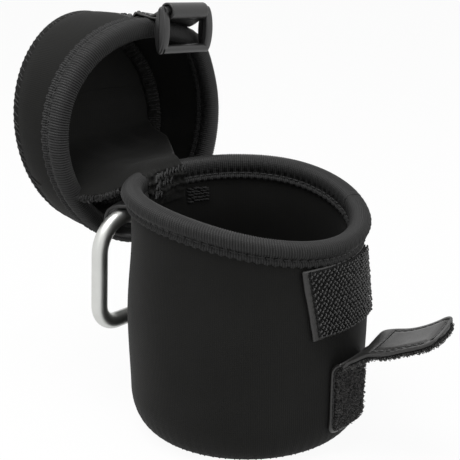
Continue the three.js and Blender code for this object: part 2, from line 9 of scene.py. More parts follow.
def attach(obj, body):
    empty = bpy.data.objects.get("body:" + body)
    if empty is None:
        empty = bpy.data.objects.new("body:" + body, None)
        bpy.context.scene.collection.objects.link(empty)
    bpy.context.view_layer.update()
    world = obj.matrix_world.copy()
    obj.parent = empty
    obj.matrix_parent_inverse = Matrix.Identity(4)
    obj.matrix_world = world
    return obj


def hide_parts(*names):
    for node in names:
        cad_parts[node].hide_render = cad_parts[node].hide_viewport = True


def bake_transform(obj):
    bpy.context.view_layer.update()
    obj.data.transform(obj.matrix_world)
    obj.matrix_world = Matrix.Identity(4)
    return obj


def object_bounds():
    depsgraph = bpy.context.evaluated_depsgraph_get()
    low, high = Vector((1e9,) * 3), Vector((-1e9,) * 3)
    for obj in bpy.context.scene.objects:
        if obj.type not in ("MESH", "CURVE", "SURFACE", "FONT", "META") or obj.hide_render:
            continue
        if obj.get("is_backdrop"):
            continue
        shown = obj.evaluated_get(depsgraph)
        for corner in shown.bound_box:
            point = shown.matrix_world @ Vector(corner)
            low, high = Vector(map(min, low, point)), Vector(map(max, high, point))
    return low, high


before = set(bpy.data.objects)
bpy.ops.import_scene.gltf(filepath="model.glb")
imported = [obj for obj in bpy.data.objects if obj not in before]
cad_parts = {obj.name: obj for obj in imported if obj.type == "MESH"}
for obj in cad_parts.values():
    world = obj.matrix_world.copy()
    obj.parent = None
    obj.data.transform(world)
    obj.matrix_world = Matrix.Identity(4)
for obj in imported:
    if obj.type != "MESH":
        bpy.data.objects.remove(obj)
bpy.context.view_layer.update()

# Sleeve of the pouch. A tube of 3.6 mm neoprene foam with a fine knitted jersey on both faces.
# It is drawn in round the foot and a little at the neck, and its top edge is cut on a slant,
# low at the strap and high at the hinge. Lengths are in millimetres and become metres in the mesh.
MM = 0.001
FRONT, BACK = -pi / 2, pi / 2
WALL = 3.6
FOOT_R, LOW_R, BELLY_R, NECK_R = 36.8, 47.0, 47.6, 44.8
CORNER_Z, BELLY_Z, NECK_Z = 16.4, 45, 82
RIM_Z, RIM_SLANT, RIM_SADDLE = 94.25, 7, 2.25
# the neck's flare: how far out, how far below the rim it starts, and over what height
FLARE, FLARE_START, FLARE_RUN = 1.2, 9, 5.9


def linear(colour):
    """sRGB hex to the linear RGBA that shader sockets take."""
    parts = [int(colour[i:i + 2], 16) / 255 for i in (1, 3, 5)]
    return [c / 12.92 if c <= 0.04045 else ((c + 0.055) / 1.055) ** 2.4 for c in parts] + [1]


def node(tree, kind, sockets=None, **settings):
    """Adds one shader node; sockets gives an input its value, or the node or output that feeds it."""
    made = tree.nodes.new("ShaderNode" + kind)
    for key, value in settings.items():
        setattr(made, key, value)
    for key, value in (sockets or {}).items():
        if isinstance(value, bpy.types.Node):
            value = value.outputs[0]
        if isinstance(value, bpy.types.NodeSocket):
            tree.links.new(value, made.inputs[key])
        else:
            made.inputs[key].default_value = value
    return made


def finish_named(name, **sockets):
    """A new material with its Principled shader's constants set on the shader itself."""
    made = bpy.data.materials.new(name)
    made.use_nodes = True
    shader = made.node_tree.nodes["Principled BSDF"]
    for key, value in sockets.items():
        shader.inputs[key.replace("_", " ")].default_value = value
    return made, made.node_tree, shader


def feed(shader, **sources):
    """Joins nodes to the Principled shader's sockets."""
    for key, source in sources.items():
        shader.id_data.links.new(source.outputs[0], shader.inputs[key.replace("_", " ")])


def clamp(t):
    return min(max(t, 0), 1)


def ease(t):
    t = clamp(t)
    return t * t * (3 - 2 * t)


def mix(a, b, t):
    return a + (b - a) * t


def around(r, angle, z=0):
    """The point at this distance and angle from the pouch's upright middle line."""
    return Vector((r * cos(angle), r * sin(angle), z))


def rim_z(angle):
    return RIM_Z + RIM_SLANT * sin(angle) + RIM_SADDLE * cos(2 * angle)


def sleeve_r(z):
    if z < CORNER_Z:
        return mix(FOOT_R, LOW_R, sqrt(max(0, 1 - (1 - z / CORNER_Z) ** 2)))
    if z < BELLY_Z:
        return mix(LOW_R, BELLY_R, ease((z - CORNER_Z) / (BELLY_Z - CORNER_Z)))
    return mix(BELLY_R, NECK_R, ease((z - BELLY_Z) / (NECK_Z - BELLY_Z)))


def on_body(angle, offset, z):
    """A point beside the sleeve: offset is the distance out from its outer face."""
    flare = FLARE * ease((z - rim_z(angle) + FLARE_START) / FLARE_RUN)
    return around(sleeve_r(z) + flare + offset, angle, z)


def cloth(columns, rows, place, size, ring=False, flip=False):
    """A bmesh grid laid out by place(u, v), with its UV map in millimetres of cloth."""
    bm = bmesh.new()
    uv = bm.loops.layers.uv.new("UVMap")
    bmesh.ops.create_grid(bm, x_segments=columns, y_segments=rows, size=0.5)
    for face in bm.faces:
        for loop in face.loops:
            loop[uv].uv = ((loop.vert.co.x + 0.5) * size[0], (loop.vert.co.y + 0.5) * size[1])
    for vert in bm.verts:
        vert.co = place(vert.co.x + 0.5, vert.co.y + 0.5) * MM
    if ring:
        bmesh.ops.remove_doubles(bm, verts=bm.verts, dist=0.00001)
    if flip:
        bmesh.ops.reverse_faces(bm, faces=bm.faces)
    return bm


def placed(name, data):
    """A new object in the scene, at its origin."""
    made = bpy.data.objects.new(name, data)
    bpy.context.scene.collection.objects.link(made)
    return made


def piece(bm, name, material, body=None, stands_for=()):
    """Makes the object from its bmesh, names its finish and ties it to its body."""
    mesh = bpy.data.meshes.new(name)
    bm.to_mesh(mesh)
    bm.free()
    mesh.shade_smooth()
    made = placed(name, mesh)
    mesh.materials.append(material)
    if body:
        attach(made, body)
    if stands_for:
        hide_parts(*stands_for)
    return made


def thicken(made, thickness, offset=-1, even=True):
    """The real thickness of a sheet, kept as a live Solidify modifier."""
    wall = made.modifiers.new("thickness", "SOLIDIFY")
    wall.thickness = thickness * MM
    wall.offset = offset
    wall.use_even_offset = even
    return made


# Neoprene jersey: a matt polyester knit, and its dye is black. The knit's wales are drawn 0.8 mm apart,
# about twice the real gauge, so that they show, and the dye and nap vary a little over the cloth.
# In the colour the wales' crowns carry a painted highlight and their grooves painted shade.
WALE, COURSE = 0.8, 0.75
jersey, tree, shader = finish_named(
    "black_neoprene_jersey", Roughness=0.8, Sheen_Weight=0.04, Sheen_Roughness=0.4, Specular_IOR_Level=0.14)
at = node(tree, "SeparateXYZ", {0: node(tree, "UVMap", uv_map="UVMap")})
wale_turn = node(tree, "Math", {0: at.outputs["X"], 1: pi / WALE}, operation="MULTIPLY")
wale_wave = node(tree, "Math", {0: wale_turn}, operation="SINE")
wale = node(tree, "Math", {0: wale_wave}, operation="ABSOLUTE")
course_turn = node(tree, "Math", {0: at.outputs["Y"], 1: tau / COURSE}, operation="MULTIPLY")
course_lean = node(tree, "Math", {0: wale, 1: 2.4, 2: course_turn}, operation="MULTIPLY_ADD")
course = node(tree, "Math", {0: course_lean}, operation="SINE")
knit = node(tree, "Math", {0: course, 1: 0.35, 2: wale}, operation="MULTIPLY_ADD")
where = node(tree, "TexCoord").outputs["Object"]
nap = node(tree, "TexNoise", {"Vector": where, "Scale": 900, "Detail": 3})
cloud = node(tree, "TexNoise", {"Vector": where, "Scale": 45, "Detail": 4})
relief = node(tree, "Math", {0: nap, 1: 0.9, 2: knit}, operation="MULTIPLY_ADD")
bump = node(tree, "Bump", {"Height": relief, "Strength": 0.5, "Distance": 0.00009})
shades = node(tree, "MixRGB", {"Fac": cloud, "Color1": linear("#121211"), "Color2": linear("#1d1d1c")})
# painted shade in the knit's grooves and a painted highlight on its crowns, scaled into the dye's colour
painted_knit_shading = node(tree, "MapRange", {0: knit, 1: -0.2, 2: 1.3, 3: 0.68, 4: 1.2})
dye_and_painted_shading = node(tree, "VectorMath", {0: shades, "Scale": painted_knit_shading}, operation="SCALE")
feed(shader, Base_Color=dye_and_painted_shading, Normal=bump)

CORNER_SHARE = 0.2
PUCKERS, PUCKER = 74, 0.66
UNDER_TAPE = 1.5


def sleeve(u, v):
    angle = u * tau
    if v < CORNER_SHARE:
        turn = v / CORNER_SHARE * pi / 2
        out = sin(turn)
        pucker = PUCKER * sin(angle * PUCKERS) * out ** 2 * (1 - out)
        return around(mix(FOOT_R, LOW_R, out) + pucker, angle, CORNER_Z * (1 - cos(turn)))
    share = (v - CORNER_SHARE) / (1 - CORNER_SHARE)
    z = mix(CORNER_Z, rim_z(angle) - UNDER_TAPE, share)
    soft = noise.noise(around(1.3, angle, z / 34))
    return on_body(angle, 0.55 * soft * sin(pi * min(1, share * 1.15)) ** 2, z)


wall = piece(
    cloth(296, 72, sleeve, (290, 101), ring=True),
    "sleeve", jersey, "pouch_body", ["body_wall"])
thicken(wall, WALL)

# Bottom. A round neoprene panel, sewn to the sleeve with an overlock seam that lies inside,
# so that outside only the small bars of its thread show round the foot. Its middle stands
# half a millimetre off the ground.
BOTTOM_HOLLOW, BOTTOM_GAP = 0.5, 0.05


def bottom(u, v):
    return around((FOOT_R - BOTTOM_GAP) * v, u * tau, BOTTOM_HOLLOW * cos(v * pi / 2) ** 2)


def lay_flat(bm, to_flat):
    """The UV map of a round panel is its own flat plane, in millimetres."""
    flat_map = bm.loops.layers.uv["UVMap"]
    for face in bm.faces:
        for loop in face.loops:
            loop[flat_map].uv = (to_flat @ (loop.vert.co / MM)).xy
    return bm


floor_panel = lay_flat(cloth(148, 24, bottom, (250, 40), ring=True), Matrix())
panel = piece(floor_panel, "bottom_panel", jersey, "pouch_body", ["base_panel"])
thicken(panel, WALL)

# Polyester sewing thread: three plies, matt, a shade darker than the cloth. The twist is drawn
# 1.5 mm apart, about three times the real lay, so that it shows.
def twisted_thread(name, dark, light, relief, distortion, **sockets):
    """Twisted yarn: a painted highlight on the crowns of its plies and painted shade in their grooves."""
    made, tree, shader = finish_named(name, **sockets)
    where = node(tree, "TexCoord").outputs["Object"]
    twist = node(tree, "TexWave", {"Vector": where, "Scale": 420, "Distortion": distortion},
                 bands_direction="DIAGONAL").outputs["Fac"]
    ply = node(tree, "Bump", {"Height": twist, "Strength": relief, "Distance": 0.0001})
    # painted highlight on the plies' crowns and painted shade in their grooves
    tone = node(tree, "MixRGB", {"Fac": twist, "Color1": linear(dark), "Color2": linear(light)})
    feed(shader, Base_Color=tone, Normal=ply)
    return made


thread = twisted_thread("black_polyester_thread", "#040404", "#121212", 0.5, 1.5,
                        Roughness=0.6, Sheen_Weight=0.1, Specular_IOR_Level=0.4)


def strands(name, runs, thickness, material=thread, body="pouch_body", sides=1,
            stands_for=()):
    """Thread, hooks or pile: each run of points becomes a round strand, and all are one mesh."""
    curve = bpy.data.curves.new(name, "CURVE")
    curve.dimensions = "3D"
    curve.bevel_depth = thickness / 2 * MM
    curve.bevel_resolution = sides
    curve.use_fill_caps = True
    for run in runs:
        spline = curve.splines.new("POLY")
        spline.points.add(len(run) - 1)
        spline.points.foreach_set("co", [c for p in run for c in (*(p * MM), 1)])
    drawn = placed(name, curve)
    bpy.context.view_layer.update()
    mesh = bpy.data.meshes.new_from_object(drawn.evaluated_get(bpy.context.evaluated_depsgraph_get()))
    bpy.data.objects.remove(drawn)
    bpy.data.curves.remove(curve)
    bm = bmesh.new()
    bm.from_mesh(mesh)
    bpy.data.meshes.remove(mesh)
    return piece(bm, name, material, body, stands_for)


STITCH_SHARE = 0.72
# one stitch from hole to hole: how far along, and how high over the cloth
STITCH_ARC = (0, -0.5), (0.12, 0.6), (0.5, 1), (0.88, 0.6), (1, -0.5)


def running_stitch(path, count, height=0.3):
    """Lockstitch along a line: path(t) gives a point and the way out of the cloth."""
    runs = []
    for i in range(count):
        run = []
        for along, lift in STITCH_ARC:
            point, out = path((i + STITCH_SHARE * along) / count)
            run.append(point + out * height * lift)
        runs.append(run)
    return runs


# the bars lie at this turn of the foot's round corner, in radians
FOOT_BARS, BAR_TURN = 92, 0.34


def foot_line(t):
    angle = t * tau
    point = around(mix(FOOT_R, LOW_R, sin(BAR_TURN)), angle, CORNER_Z * (1 - cos(BAR_TURN)))
    return point, around(0.6, angle, -0.8)


foot_runs = []
for i in range(FOOT_BARS):
    along = (i + 0.18 * sin(i * 2.4)) / FOOT_BARS
    here, out = foot_line(along)
    low, down = foot_line(along + 0.3 / FOOT_BARS)
    foot_runs.append([
        here + Vector((0, 0, 1.5)) + out * 0.22, here + Vector((0, 0, 0.8)) + out * 0.2,
        low + Vector((0, 0, 0.1)) + down * 0.1, low * 0.985])
strands("foot_seam_bars", foot_runs, 0.5)

OVERLOCKS, OVERLOCK_R, OVERLOCK_Z = 230, FOOT_R - 1.1, 5
inner_seam = []
for i in range(OVERLOCKS):
    for twin in (0, 0.4):
        a = (i + twin) / OVERLOCKS * tau
        inner_seam.append([
            around(OVERLOCK_R + 1.25 * cos(s), a + 0.006 * s, OVERLOCK_Z + 1.15 * sin(s))
            for s in (-0.3, 0.5, 1.3, 2.1, 2.9, 3.7)])
strands("bottom_overlock", inner_seam, 0.55, sides=0, stands_for=["base_seam"])

# Binding of the body's rim. Elastic tape 20 mm wide, knitted with a rib across it, folded over
# the raw edge and held by one line of lockstitch that pinches both legs to the wall.
RIB, PICK = 0.98, 0.6
# across the tape: distance out from the wall's face, and down from the edge
TAPE = [
    (0.3, 9.2), (1.1, 8.9), (1.5, 7.9), (0.1, 6.4), (1.35, 5.4), (2.0, 4.3), (2.15, 3.1), (1.85, 1.75),
    (1.1, 0.65), (-0.2, 0.02), (-1.8, -0.15), (-3.4, 0.02), (-4.7, 0.65), (-5.45, 1.75), (-5.75, 3.2),
    (-5.5, 4.7), (-4.7, 6.0), (-4.3, 6.8), (-4.75, 7.8), (-4.85, 8.9), (-4.3, 9.3)]


def through(rows, t):
    """A smooth line through the rows of a table: t runs from its first row to its last."""
    spot = clamp(t) * (len(rows) - 1)
    i = min(int(spot), len(rows) - 2)
    f = spot - i
    near = [rows[min(max(i + k, 0), len(rows) - 1)] for k in (-1, 0, 1, 2)]
    return [0.5 * (2 * b + (c - a) * f + (2 * a - 5 * b + 4 * c - d) * f * f
                   + (3 * b - a - 3 * c + d) * f ** 3) for a, b, c, d in zip(*near)]


# Ribbed elastic: nylon over rubber. Its colour is lighter on the ribs' crowns, a painted highlight for their
# soft lustre, and darker between them as painted shade
elastic, tree, shader = finish_named(
    "black_ribbed_elastic", Roughness=0.55, Sheen_Weight=0.03, Sheen_Roughness=0.4, Specular_IOR_Level=0.25)
tape_at = node(tree, "SeparateXYZ", {0: node(tree, "UVMap", uv_map="UVMap")})
rib_turn = node(tree, "Math", {0: tape_at.outputs["X"], 1: tau / RIB}, operation="MULTIPLY")
rib = node(tree, "Math", {0: rib_turn}, operation="COSINE")
# the ribs' crowns lighter as a painted highlight, their grooves darker as painted shade
painted_rib_highlight = node(tree, "MapRange", {0: rib, 1: -1, 2: 0.9, 3: 0, 4: 1})
pick_turn = node(tree, "Math", {0: tape_at.outputs["Y"], 1: tau / PICK}, operation="MULTIPLY")
pick = node(tree, "Math", {0: pick_turn}, operation="SINE")
weave = node(tree, "Bump", {"Height": pick, "Strength": 0.35, "Distance": 0.00008})
tape_colour_with_painted_highlight = node(tree, "MixRGB", {"Fac": painted_rib_highlight, "Color1": linear("#030303"), "Color2": linear("#2c2c2c")})
feed(shader, Base_Color=tape_colour_with_painted_highlight, Normal=weave)

RIM_LENGTH = 291.06
RIBS = round(RIM_LENGTH / RIB)
STITCHES = 88


def on_rim(angle, offset, drop):
    """A point beside the sleeve's top edge: out from its outer face, and down from the edge."""
    return on_body(angle, offset, rim_z(angle) - drop)


def folded_tape(angle, t, seam=0):
    """How far a point of the tape lies out from the wall and down from the edge, with its ribs,
    the pull of each stitch, the slack between stitches and a wavy selvedge."""
    offset, drop = through(TAPE, t)
    pull = cos(angle * STITCHES)
    hold = exp(-((drop - 6.35) / 0.9) ** 2)
    slack = exp(-((drop - 3.6) / 2.2) ** 2)
    wander = noise.noise(around(2.2, angle, drop / 6))
    lift = 0.22 * cos(angle * RIBS) - 0.42 * hold * pull + 0.13 * slack * pull
    lift += 0.28 * slack * wander + seam
    top = ease(1 - abs(t - 0.48) / 0.16)
    drop += 0.32 * pull * ease((drop - 7) / 2)
    side = 1 if t < 0.5 else -1
    return offset + side * lift * (1 - top), drop - lift * top


# where the tape's two ends meet, on the right of the front
JOIN_ANGLE = radians(-38) + tau


def body_tape(u, v):
    angle = u * tau
    past = angle - JOIN_ANGLE
    join = exp(-(past / 0.035) ** 2) * (0.45 * sin(past * 90) - 0.25)
    return on_rim(angle, *folded_tape(angle, v, join))


piece(
    cloth(RIBS * 4, 34, body_tape, (RIBS * RIB, 26), ring=True),
    "body_binding", elastic, "pouch_body", ["body_rim_binding"])

# the lockstitch outside and inside the rim: out from the wall, down from the edge, and its bulge
RIM_STITCH = (0.4, 6.4, 0.16), (-4.45, 6.9, 0.2)


def rim_stitches(name, place, outward, body):
    """The line of lockstitch that pinches both legs of the folded tape, seen from both sides."""
    runs = []
    for offset, drop, height in RIM_STITCH:
        def path(t):
            angle = t * tau
            return place(angle, offset, drop), outward(angle) * (1 if offset > 0 else -1)
        runs += running_stitch(path, STITCHES, height=height)
    strands(name, runs, 0.7, body=body)


rim_stitches("body_binding_stitch", on_rim, lambda angle: around(1, angle), "pouch_body")

# Hook patch. A piece of hook tape under the front rim, on a faux leather backing that shows as
# a margin at its left edge. Both are sewn through to the sleeve.
PATCH_LOW, PATCH_HIGH = 49.7, 76.4
PATCH_WIDE, PATCH_NARROW = 44.4, 40.0


def on_patch(u, v, left, hem, offset):
    z = mix(PATCH_LOW + hem, PATCH_HIGH - hem, v)
    half = mix(PATCH_NARROW, PATCH_WIDE, v) / 2
    across = mix(-half + left, half - hem, u)
    return on_body(FRONT + across / sleeve_r(z), offset, z)


# Faux leather: PVC embossed with a fine grain, satin, with rubbed high spots. Grain cells are 0.7 mm.
leather, tree, shader = finish_named(
    "black_grained_faux_leather", Roughness=0.42, Specular_IOR_Level=0.5, Coat_Weight=0.12,
    Coat_Roughness=0.35)
where = node(tree, "TexCoord").outputs["Object"]
cells = node(tree, "TexVoronoi", {"Vector": where, "Scale": 1400}, feature="DISTANCE_TO_EDGE")
creases = node(tree, "TexNoise", {"Vector": where, "Scale": 260, "Detail": 5})
rubbed = node(tree, "TexNoise", {"Vector": where, "Scale": 120, "Detail": 3})
grain = node(tree, "Math", {0: creases, 1: 0.7, 2: cells}, operation="MULTIPLY_ADD")
emboss = node(tree, "Bump", {"Height": grain, "Strength": 0.35, "Distance": 0.00018})
hide_tone = node(tree, "MixRGB", {"Fac": rubbed, "Color1": linear("#151514"), "Color2": linear("#2d2c2b")})
shine = node(tree, "MapRange", {0: rubbed, 3: 0.32, 4: 0.52})
feed(shader, Base_Color=hide_tone, Roughness=shine, Normal=emboss)


def backing(u, v):
    edge = 0.35 * noise.noise(Vector((0, v * 5, 3.3))) * (1 - u) ** 6
    return on_patch(u, v, edge, 0, 1.0 + 0.5 * (1 - u) ** 10)


thicken(piece(
    cloth(60, 34, backing, (44, 27)), "hook_backing_margin", leather,
    "pouch_body", ["hook_backing"]), 0.7)

# Hook tape: stiff nylon filament, a little glossy, on a woven ground. The hooks' colour is lighter than their
# black nylon, as a painted highlight.
def filaments(name, scale, dark, light, relief, depth, **sockets):
    """Nylon filaments: a fine grain of tone and of height; scale is its cells to the metre."""
    made, tree, shader = finish_named(name, **sockets)
    where = node(tree, "TexCoord").outputs["Object"]
    speck = node(tree, "TexNoise", {"Vector": where, "Scale": scale, "Detail": 2})
    tone = node(tree, "MixRGB", {"Fac": speck, "Color1": linear(dark), "Color2": linear(light)})
    grain = node(tree, "Bump", {"Height": speck, "Strength": relief, "Distance": depth})
    feed(shader, Base_Color=tone, Normal=grain)
    return made


# the hooks' light colour is a painted highlight
hook_nylon_painted_highlight = filaments("black_nylon_hook_tape", 1100, "#1a1a1a", "#414140", 0.5, 0.0001,
                       Roughness=0.36, Specular_IOR_Level=0.55)
# The woven ground under the hooks is duller, and darker as painted shade under the hooks and pile loops
hook_ground = filaments("black_woven_hook_ground", 1300, "#050505", "#121212", 0.6, 0.00012,
                        Roughness=0.75, Specular_IOR_Level=0.25)

TAPE_LEFT, TAPE_HEM, TAPE_UP = 2.5, 0.8, 1.5
TAPE_WIDE, TAPE_TALL = 41, 25
thicken(piece(
    cloth(60, 44, lambda u, v: on_patch(u, v, TAPE_LEFT, TAPE_HEM, TAPE_UP), (TAPE_WIDE, TAPE_TALL)),
    "hook_tape_ground", hook_ground, "pouch_body", ["hook_pile_patch"]), 0.5)

HOOK_ROWS, HOOK_COLUMNS = 11, 19
# a hook from root to tip: how far along, and how high over the ground
HOOK_ARC = (0, 0), (0.02, 0.7), (0.25, 1.15), (0.62, 1.1), (0.85, 0.7)
random.seed(11)
hooks = []
for row in range(HOOK_ROWS):
    for column in range(HOOK_COLUMNS):
        for twin in (0, 1):
            u = (column + 0.2 + 0.5 * twin + random.uniform(-0.1, 0.1)) / (HOOK_COLUMNS + 0.4)
            v = (row + 0.24 + 0.44 * twin + random.uniform(-0.06, 0.06)) / HOOK_ROWS
            lean = random.uniform(0.6, 1.1)
            lift = random.uniform(0.8, 1.15)
            run = []
            for along, up in HOOK_ARC:
                du = along * cos(lean) / TAPE_WIDE
                dv = along * sin(lean) / TAPE_TALL
                run.append(on_patch(u + du, v + dv, TAPE_LEFT, TAPE_HEM, TAPE_UP + up * lift))
            hooks.append(run)
strands("hook_tape_hooks", hooks, 0.62, hook_nylon_painted_highlight)


def between(corners, t):
    """A point of the straight lines from corner to corner: t runs from the first to the last."""
    spot = min(t, 0.99999) * (len(corners) - 1)
    start, end = corners[int(spot)], corners[int(spot) + 1]
    return [mix(a, b, spot - int(spot)) for a, b in zip(start, end)]


def patch_line(corners, offset):
    def path(t):
        point = on_patch(*between(corners, t), 0, 0, offset)
        return point, Vector((point.x, point.y, 0)).normalized()
    return path


# the seam's lines, as shares of the backing's width and height
LEFT_SEAM, RIGHT_SEAM, LOW_SEAM = 0.075, 0.985, 0.05
strands("hook_patch_stitch",
        running_stitch(patch_line([(LEFT_SEAM, 0.98), (LEFT_SEAM, 0.04)], 1.5), 9)
        + running_stitch(patch_line([(LEFT_SEAM, LOW_SEAM), (RIGHT_SEAM, LOW_SEAM)], 2.0), 15, height=0.5)
        + running_stitch(patch_line([(RIGHT_SEAM, LOW_SEAM), (RIGHT_SEAM, 0.97)], 2.0), 9, height=0.5), 0.5)

# Closing strap, sewn limb. Faux leather 23 mm wide with loop tape on its outer side. It runs up
# the sleeve from its sewn end and curls outward at the fold.
STRAP_HALF, LIMB_CORNER = 11.5, 4
STRAP_LOW, STRAP_BEND, BEND_R, BEND_TURN = 8.8, 34.6, 5.4, radians(66)
STRAP_RUN = STRAP_BEND - STRAP_LOW
LIMB = STRAP_RUN + BEND_R * BEND_TURN
BEND_OUT = sleeve_r(STRAP_BEND) + 0.3 + BEND_R


def on_limb(across, along, depth):
    z = STRAP_LOW + min(along, STRAP_RUN)
    turn = max(along - STRAP_RUN, 0) / BEND_R
    flat = turn / BEND_TURN
    r = sleeve_r(z) + 0.3 + depth
    reach = BEND_R - depth
    out = BEND_OUT - reach * cos(turn) if turn > 0 else r
    sag = r * (1 - cos(across / r)) * (1 - flat)
    x = mix(r * sin(across / r), across, flat)
    return Vector((x, sag - out, z + (reach * sin(turn) if turn > 0 else 0)))


def rounded(distance, radius):
    """How much narrower a strap is at this distance from its end, for its round corners."""
    return radius * (1 - sqrt(1 - (1 - clamp(distance / radius)) ** 2))


def limb_half(along):
    return STRAP_HALF - rounded(along, LIMB_CORNER)


def limb(u, v):
    side = mix(-1, 1, u)
    crown = 0.25 * cos(abs(side) ** 8 * pi / 2)
    return on_limb(side * limb_half(LIMB * v), LIMB * v, 1.1 + crown)


thicken(piece(cloth(24, 48, limb, (23, 32)), "strap_sewn_limb", leather,
              "pouch_body", ["strap_anchor"]), 1.1)

# Loop tape: brushed nylon pile, soft and matt; its loops stand 0.8 to 1.7 mm off the ground cloth
pile, tree, shader = finish_named(
    "black_nylon_loop_pile", Roughness=0.7, Sheen_Weight=0.35, Sheen_Roughness=0.35, Specular_IOR_Level=0.35)
where = node(tree, "TexCoord").outputs["Object"]
tuft = node(tree, "TexNoise", {"Vector": where, "Scale": 700, "Detail": 3})
tuft_hard = node(tree, "MapRange", {0: tuft, 1: 0.4, 2: 0.62})
tuft_tone = node(tree, "MixRGB", {"Fac": tuft_hard, "Color1": linear("#050505"), "Color2": linear("#3d3c3b")})
feed(shader, Base_Color=tuft_tone)


def loops_on(surface, count, seed, width, height):
    """Small crossing loops of pile: surface(u, v) gives a point of the ground and the way out."""
    random.seed(seed)
    runs = []
    for _ in range(count):
        u, v = random.random(), random.random()
        turn = random.uniform(0, tau)
        point, out, side = surface(u, v)
        way = (side * cos(turn) + out.cross(side) * sin(turn)) * width * random.uniform(0.6, 1.2)
        tall = height * random.uniform(0.55, 1.15)
        tip = way.cross(out).normalized() * random.uniform(-0.5, 0.5)
        runs.append([
            point - way * 0.5 - out * 0.1, point - way * 0.45 + out * tall * 0.6 + tip * 0.4,
            point + out * tall + tip, point + way * 0.45 + out * tall * 0.6 + tip * 0.5,
            point + way * 0.5 - out * 0.1])
    return runs


PILE_THICK, PILE_LONG = 0.26, 1.4


def limb_pile(u, v):
    along = mix(1.6, LIMB - 0.3, v)
    across = mix(-1, 1, u) * (limb_half(along) - 1.5)
    point = on_limb(across, along, 1.7)
    turn = max(along - STRAP_RUN, 0) / BEND_R
    out = Vector((0, -cos(turn), -sin(turn)))
    if turn == 0:
        out = Vector((point.x, point.y, 0)).normalized()
    return point, out, Vector((1, 0, 0))


thicken(piece(
    cloth(20, 40, lambda u, v: limb_pile(u, v)[0], (20, 30)),
    "strap_limb_loop_tape", hook_ground, "pouch_body", ["strap_anchor_loop_pile"]), 0.5)
strands("strap_limb_loops", loops_on(limb_pile, 2300, 21, PILE_LONG, 1.35), PILE_THICK, pile,
        sides=0)

LIMB_SEAM = STRAP_HALF - 0.75


def limb_edge(t):
    """The seam's line: down the left edge, round the sewn end and up the right edge."""
    spot = t * 3
    if spot < 1:
        along, across = mix(LIMB - 2, 4.5, spot), -LIMB_SEAM
    elif spot < 2:
        along, across = 4.5 - 3.6 * sin((spot - 1) * pi), mix(-1, 1, spot - 1) * LIMB_SEAM
    else:
        along, across = mix(4.5, LIMB - 2, spot - 2), LIMB_SEAM
    point = on_limb(across, max(along, 0.9), 1.5)
    return point, Vector((point.x, point.y, 0)).normalized()


strands("strap_limb_stitch", running_stitch(limb_edge, 27), 0.45)

# Closing strap, free part. It stands out from the fold at about 24 degrees with a slight curl.
# Faux leather above with a sewn box, loop tape below, and a rounded end.
FOLD = Vector((0, -52.825, 38.971))
FLAP_TURN = pi / 2 - BEND_TURN
FLAP_LONG, FLAP_CORNER = 36.4, 6.5
FLAP_UP = Vector((0, -sin(FLAP_TURN), cos(FLAP_TURN)))


def on_flap(across, along, depth):
    """depth is up from the middle of the strap's thickness"""
    t = along / FLAP_LONG
    curl = 2.0 * exp(-((t - 0.25) / 0.16) ** 2) + 0.7 * ease(t / 0.5)
    curl += 0.5 * ease((t - 0.72) / 0.28) - 0.2
    # the side that faces the hook patch folds out first
    curl += 2.4 * max(across / STRAP_HALF, 0) * exp(-((t - 0.1) / 0.11) ** 2)
    curl *= ease(t / 0.06)
    roll = radians(6.2 * ease(t / 0.25) + 5 * ease((t - 0.6) / 0.4))
    cup = 0.9 * t * (across / STRAP_HALF) ** 2
    y, z = -along, depth * cos(roll) + across * sin(roll) + curl + cup
    across = across * cos(roll) - depth * sin(roll) + 5.1 * t
    c, s = cos(-FLAP_TURN), sin(-FLAP_TURN)
    return FOLD + Vector((across, y * c - z * s, y * s + z * c))


def flap_half(along, end, hem):
    return STRAP_HALF - hem - rounded(end - along, FLAP_CORNER)


BOX_START, BOX_HALF = 11.0, 9.2
ROOT = 1.2


def flap_top(u, v):
    along = mix(-ROOT, FLAP_LONG, 1 - (1 - v) ** 1.25)
    side = mix(1, -1, u)
    root = ease((along + ROOT) / (2 * ROOT))
    crown = 0.3 * (1 - abs(side) ** 6)
    # the sewn box presses a groove into the leather and leaves a soft roll outside it
    inside = min(BOX_HALF - abs(side) * STRAP_HALF, along - BOX_START, FLAP_LONG - 2.4 - along)
    seam = 0.55 * exp(-(inside / 0.55) ** 2) - 0.35 * ease(inside / 3)
    return on_flap(side * flap_half(along, FLAP_LONG, 0), along, mix(0.4, 1.35, root) + crown - seam)


thicken(piece(cloth(72, 110, flap_top, (23, 41)), "strap_free_part", leather,
              "closing_strap", ["strap_flap"]), 1.15)


def flap_pile(u, v):
    end = FLAP_LONG - 0.6
    along = mix(2.0, end, v)
    across = mix(-1, 1, u) * max(flap_half(along, end, 0.7), 0.5)
    out = Vector((0, -sin(FLAP_TURN), -cos(FLAP_TURN)))
    return on_flap(across, along, -0.45), out, Vector((1, 0, 0))


thicken(piece(
    cloth(24, 44, lambda u, v: flap_pile(u, v)[0], (21, 36)),
    "strap_free_loop_tape", hook_ground, "closing_strap", ["strap_flap_loop_pile"]), 0.5)
strands("strap_free_loops", loops_on(flap_pile, 2600, 31, PILE_LONG, 1.5), PILE_THICK, pile,
        "closing_strap", sides=0)

# Thread on the strap: a waxed grey-black bonded nylon that catches the light
bonded = twisted_thread("grey_bonded_nylon_thread", "#2a2a2a", "#474747", 0.4, 0,
                        Roughness=0.38, Specular_IOR_Level=0.5)

# the sewn box, corner by corner: across and along the strap
FLAP_BOX = [(-BOX_HALF, BOX_START), (-BOX_HALF, 30.2), (-5.5, 34.2), (5.5, 34.2), (BOX_HALF, 30.2),
            (BOX_HALF, BOX_START), (-BOX_HALF, BOX_START)]
strands("strap_free_stitch",
        running_stitch(lambda t: (on_flap(*between(FLAP_BOX, t), 1.4), FLAP_UP), 42, height=0.28),
        0.5, bonded, "closing_strap")
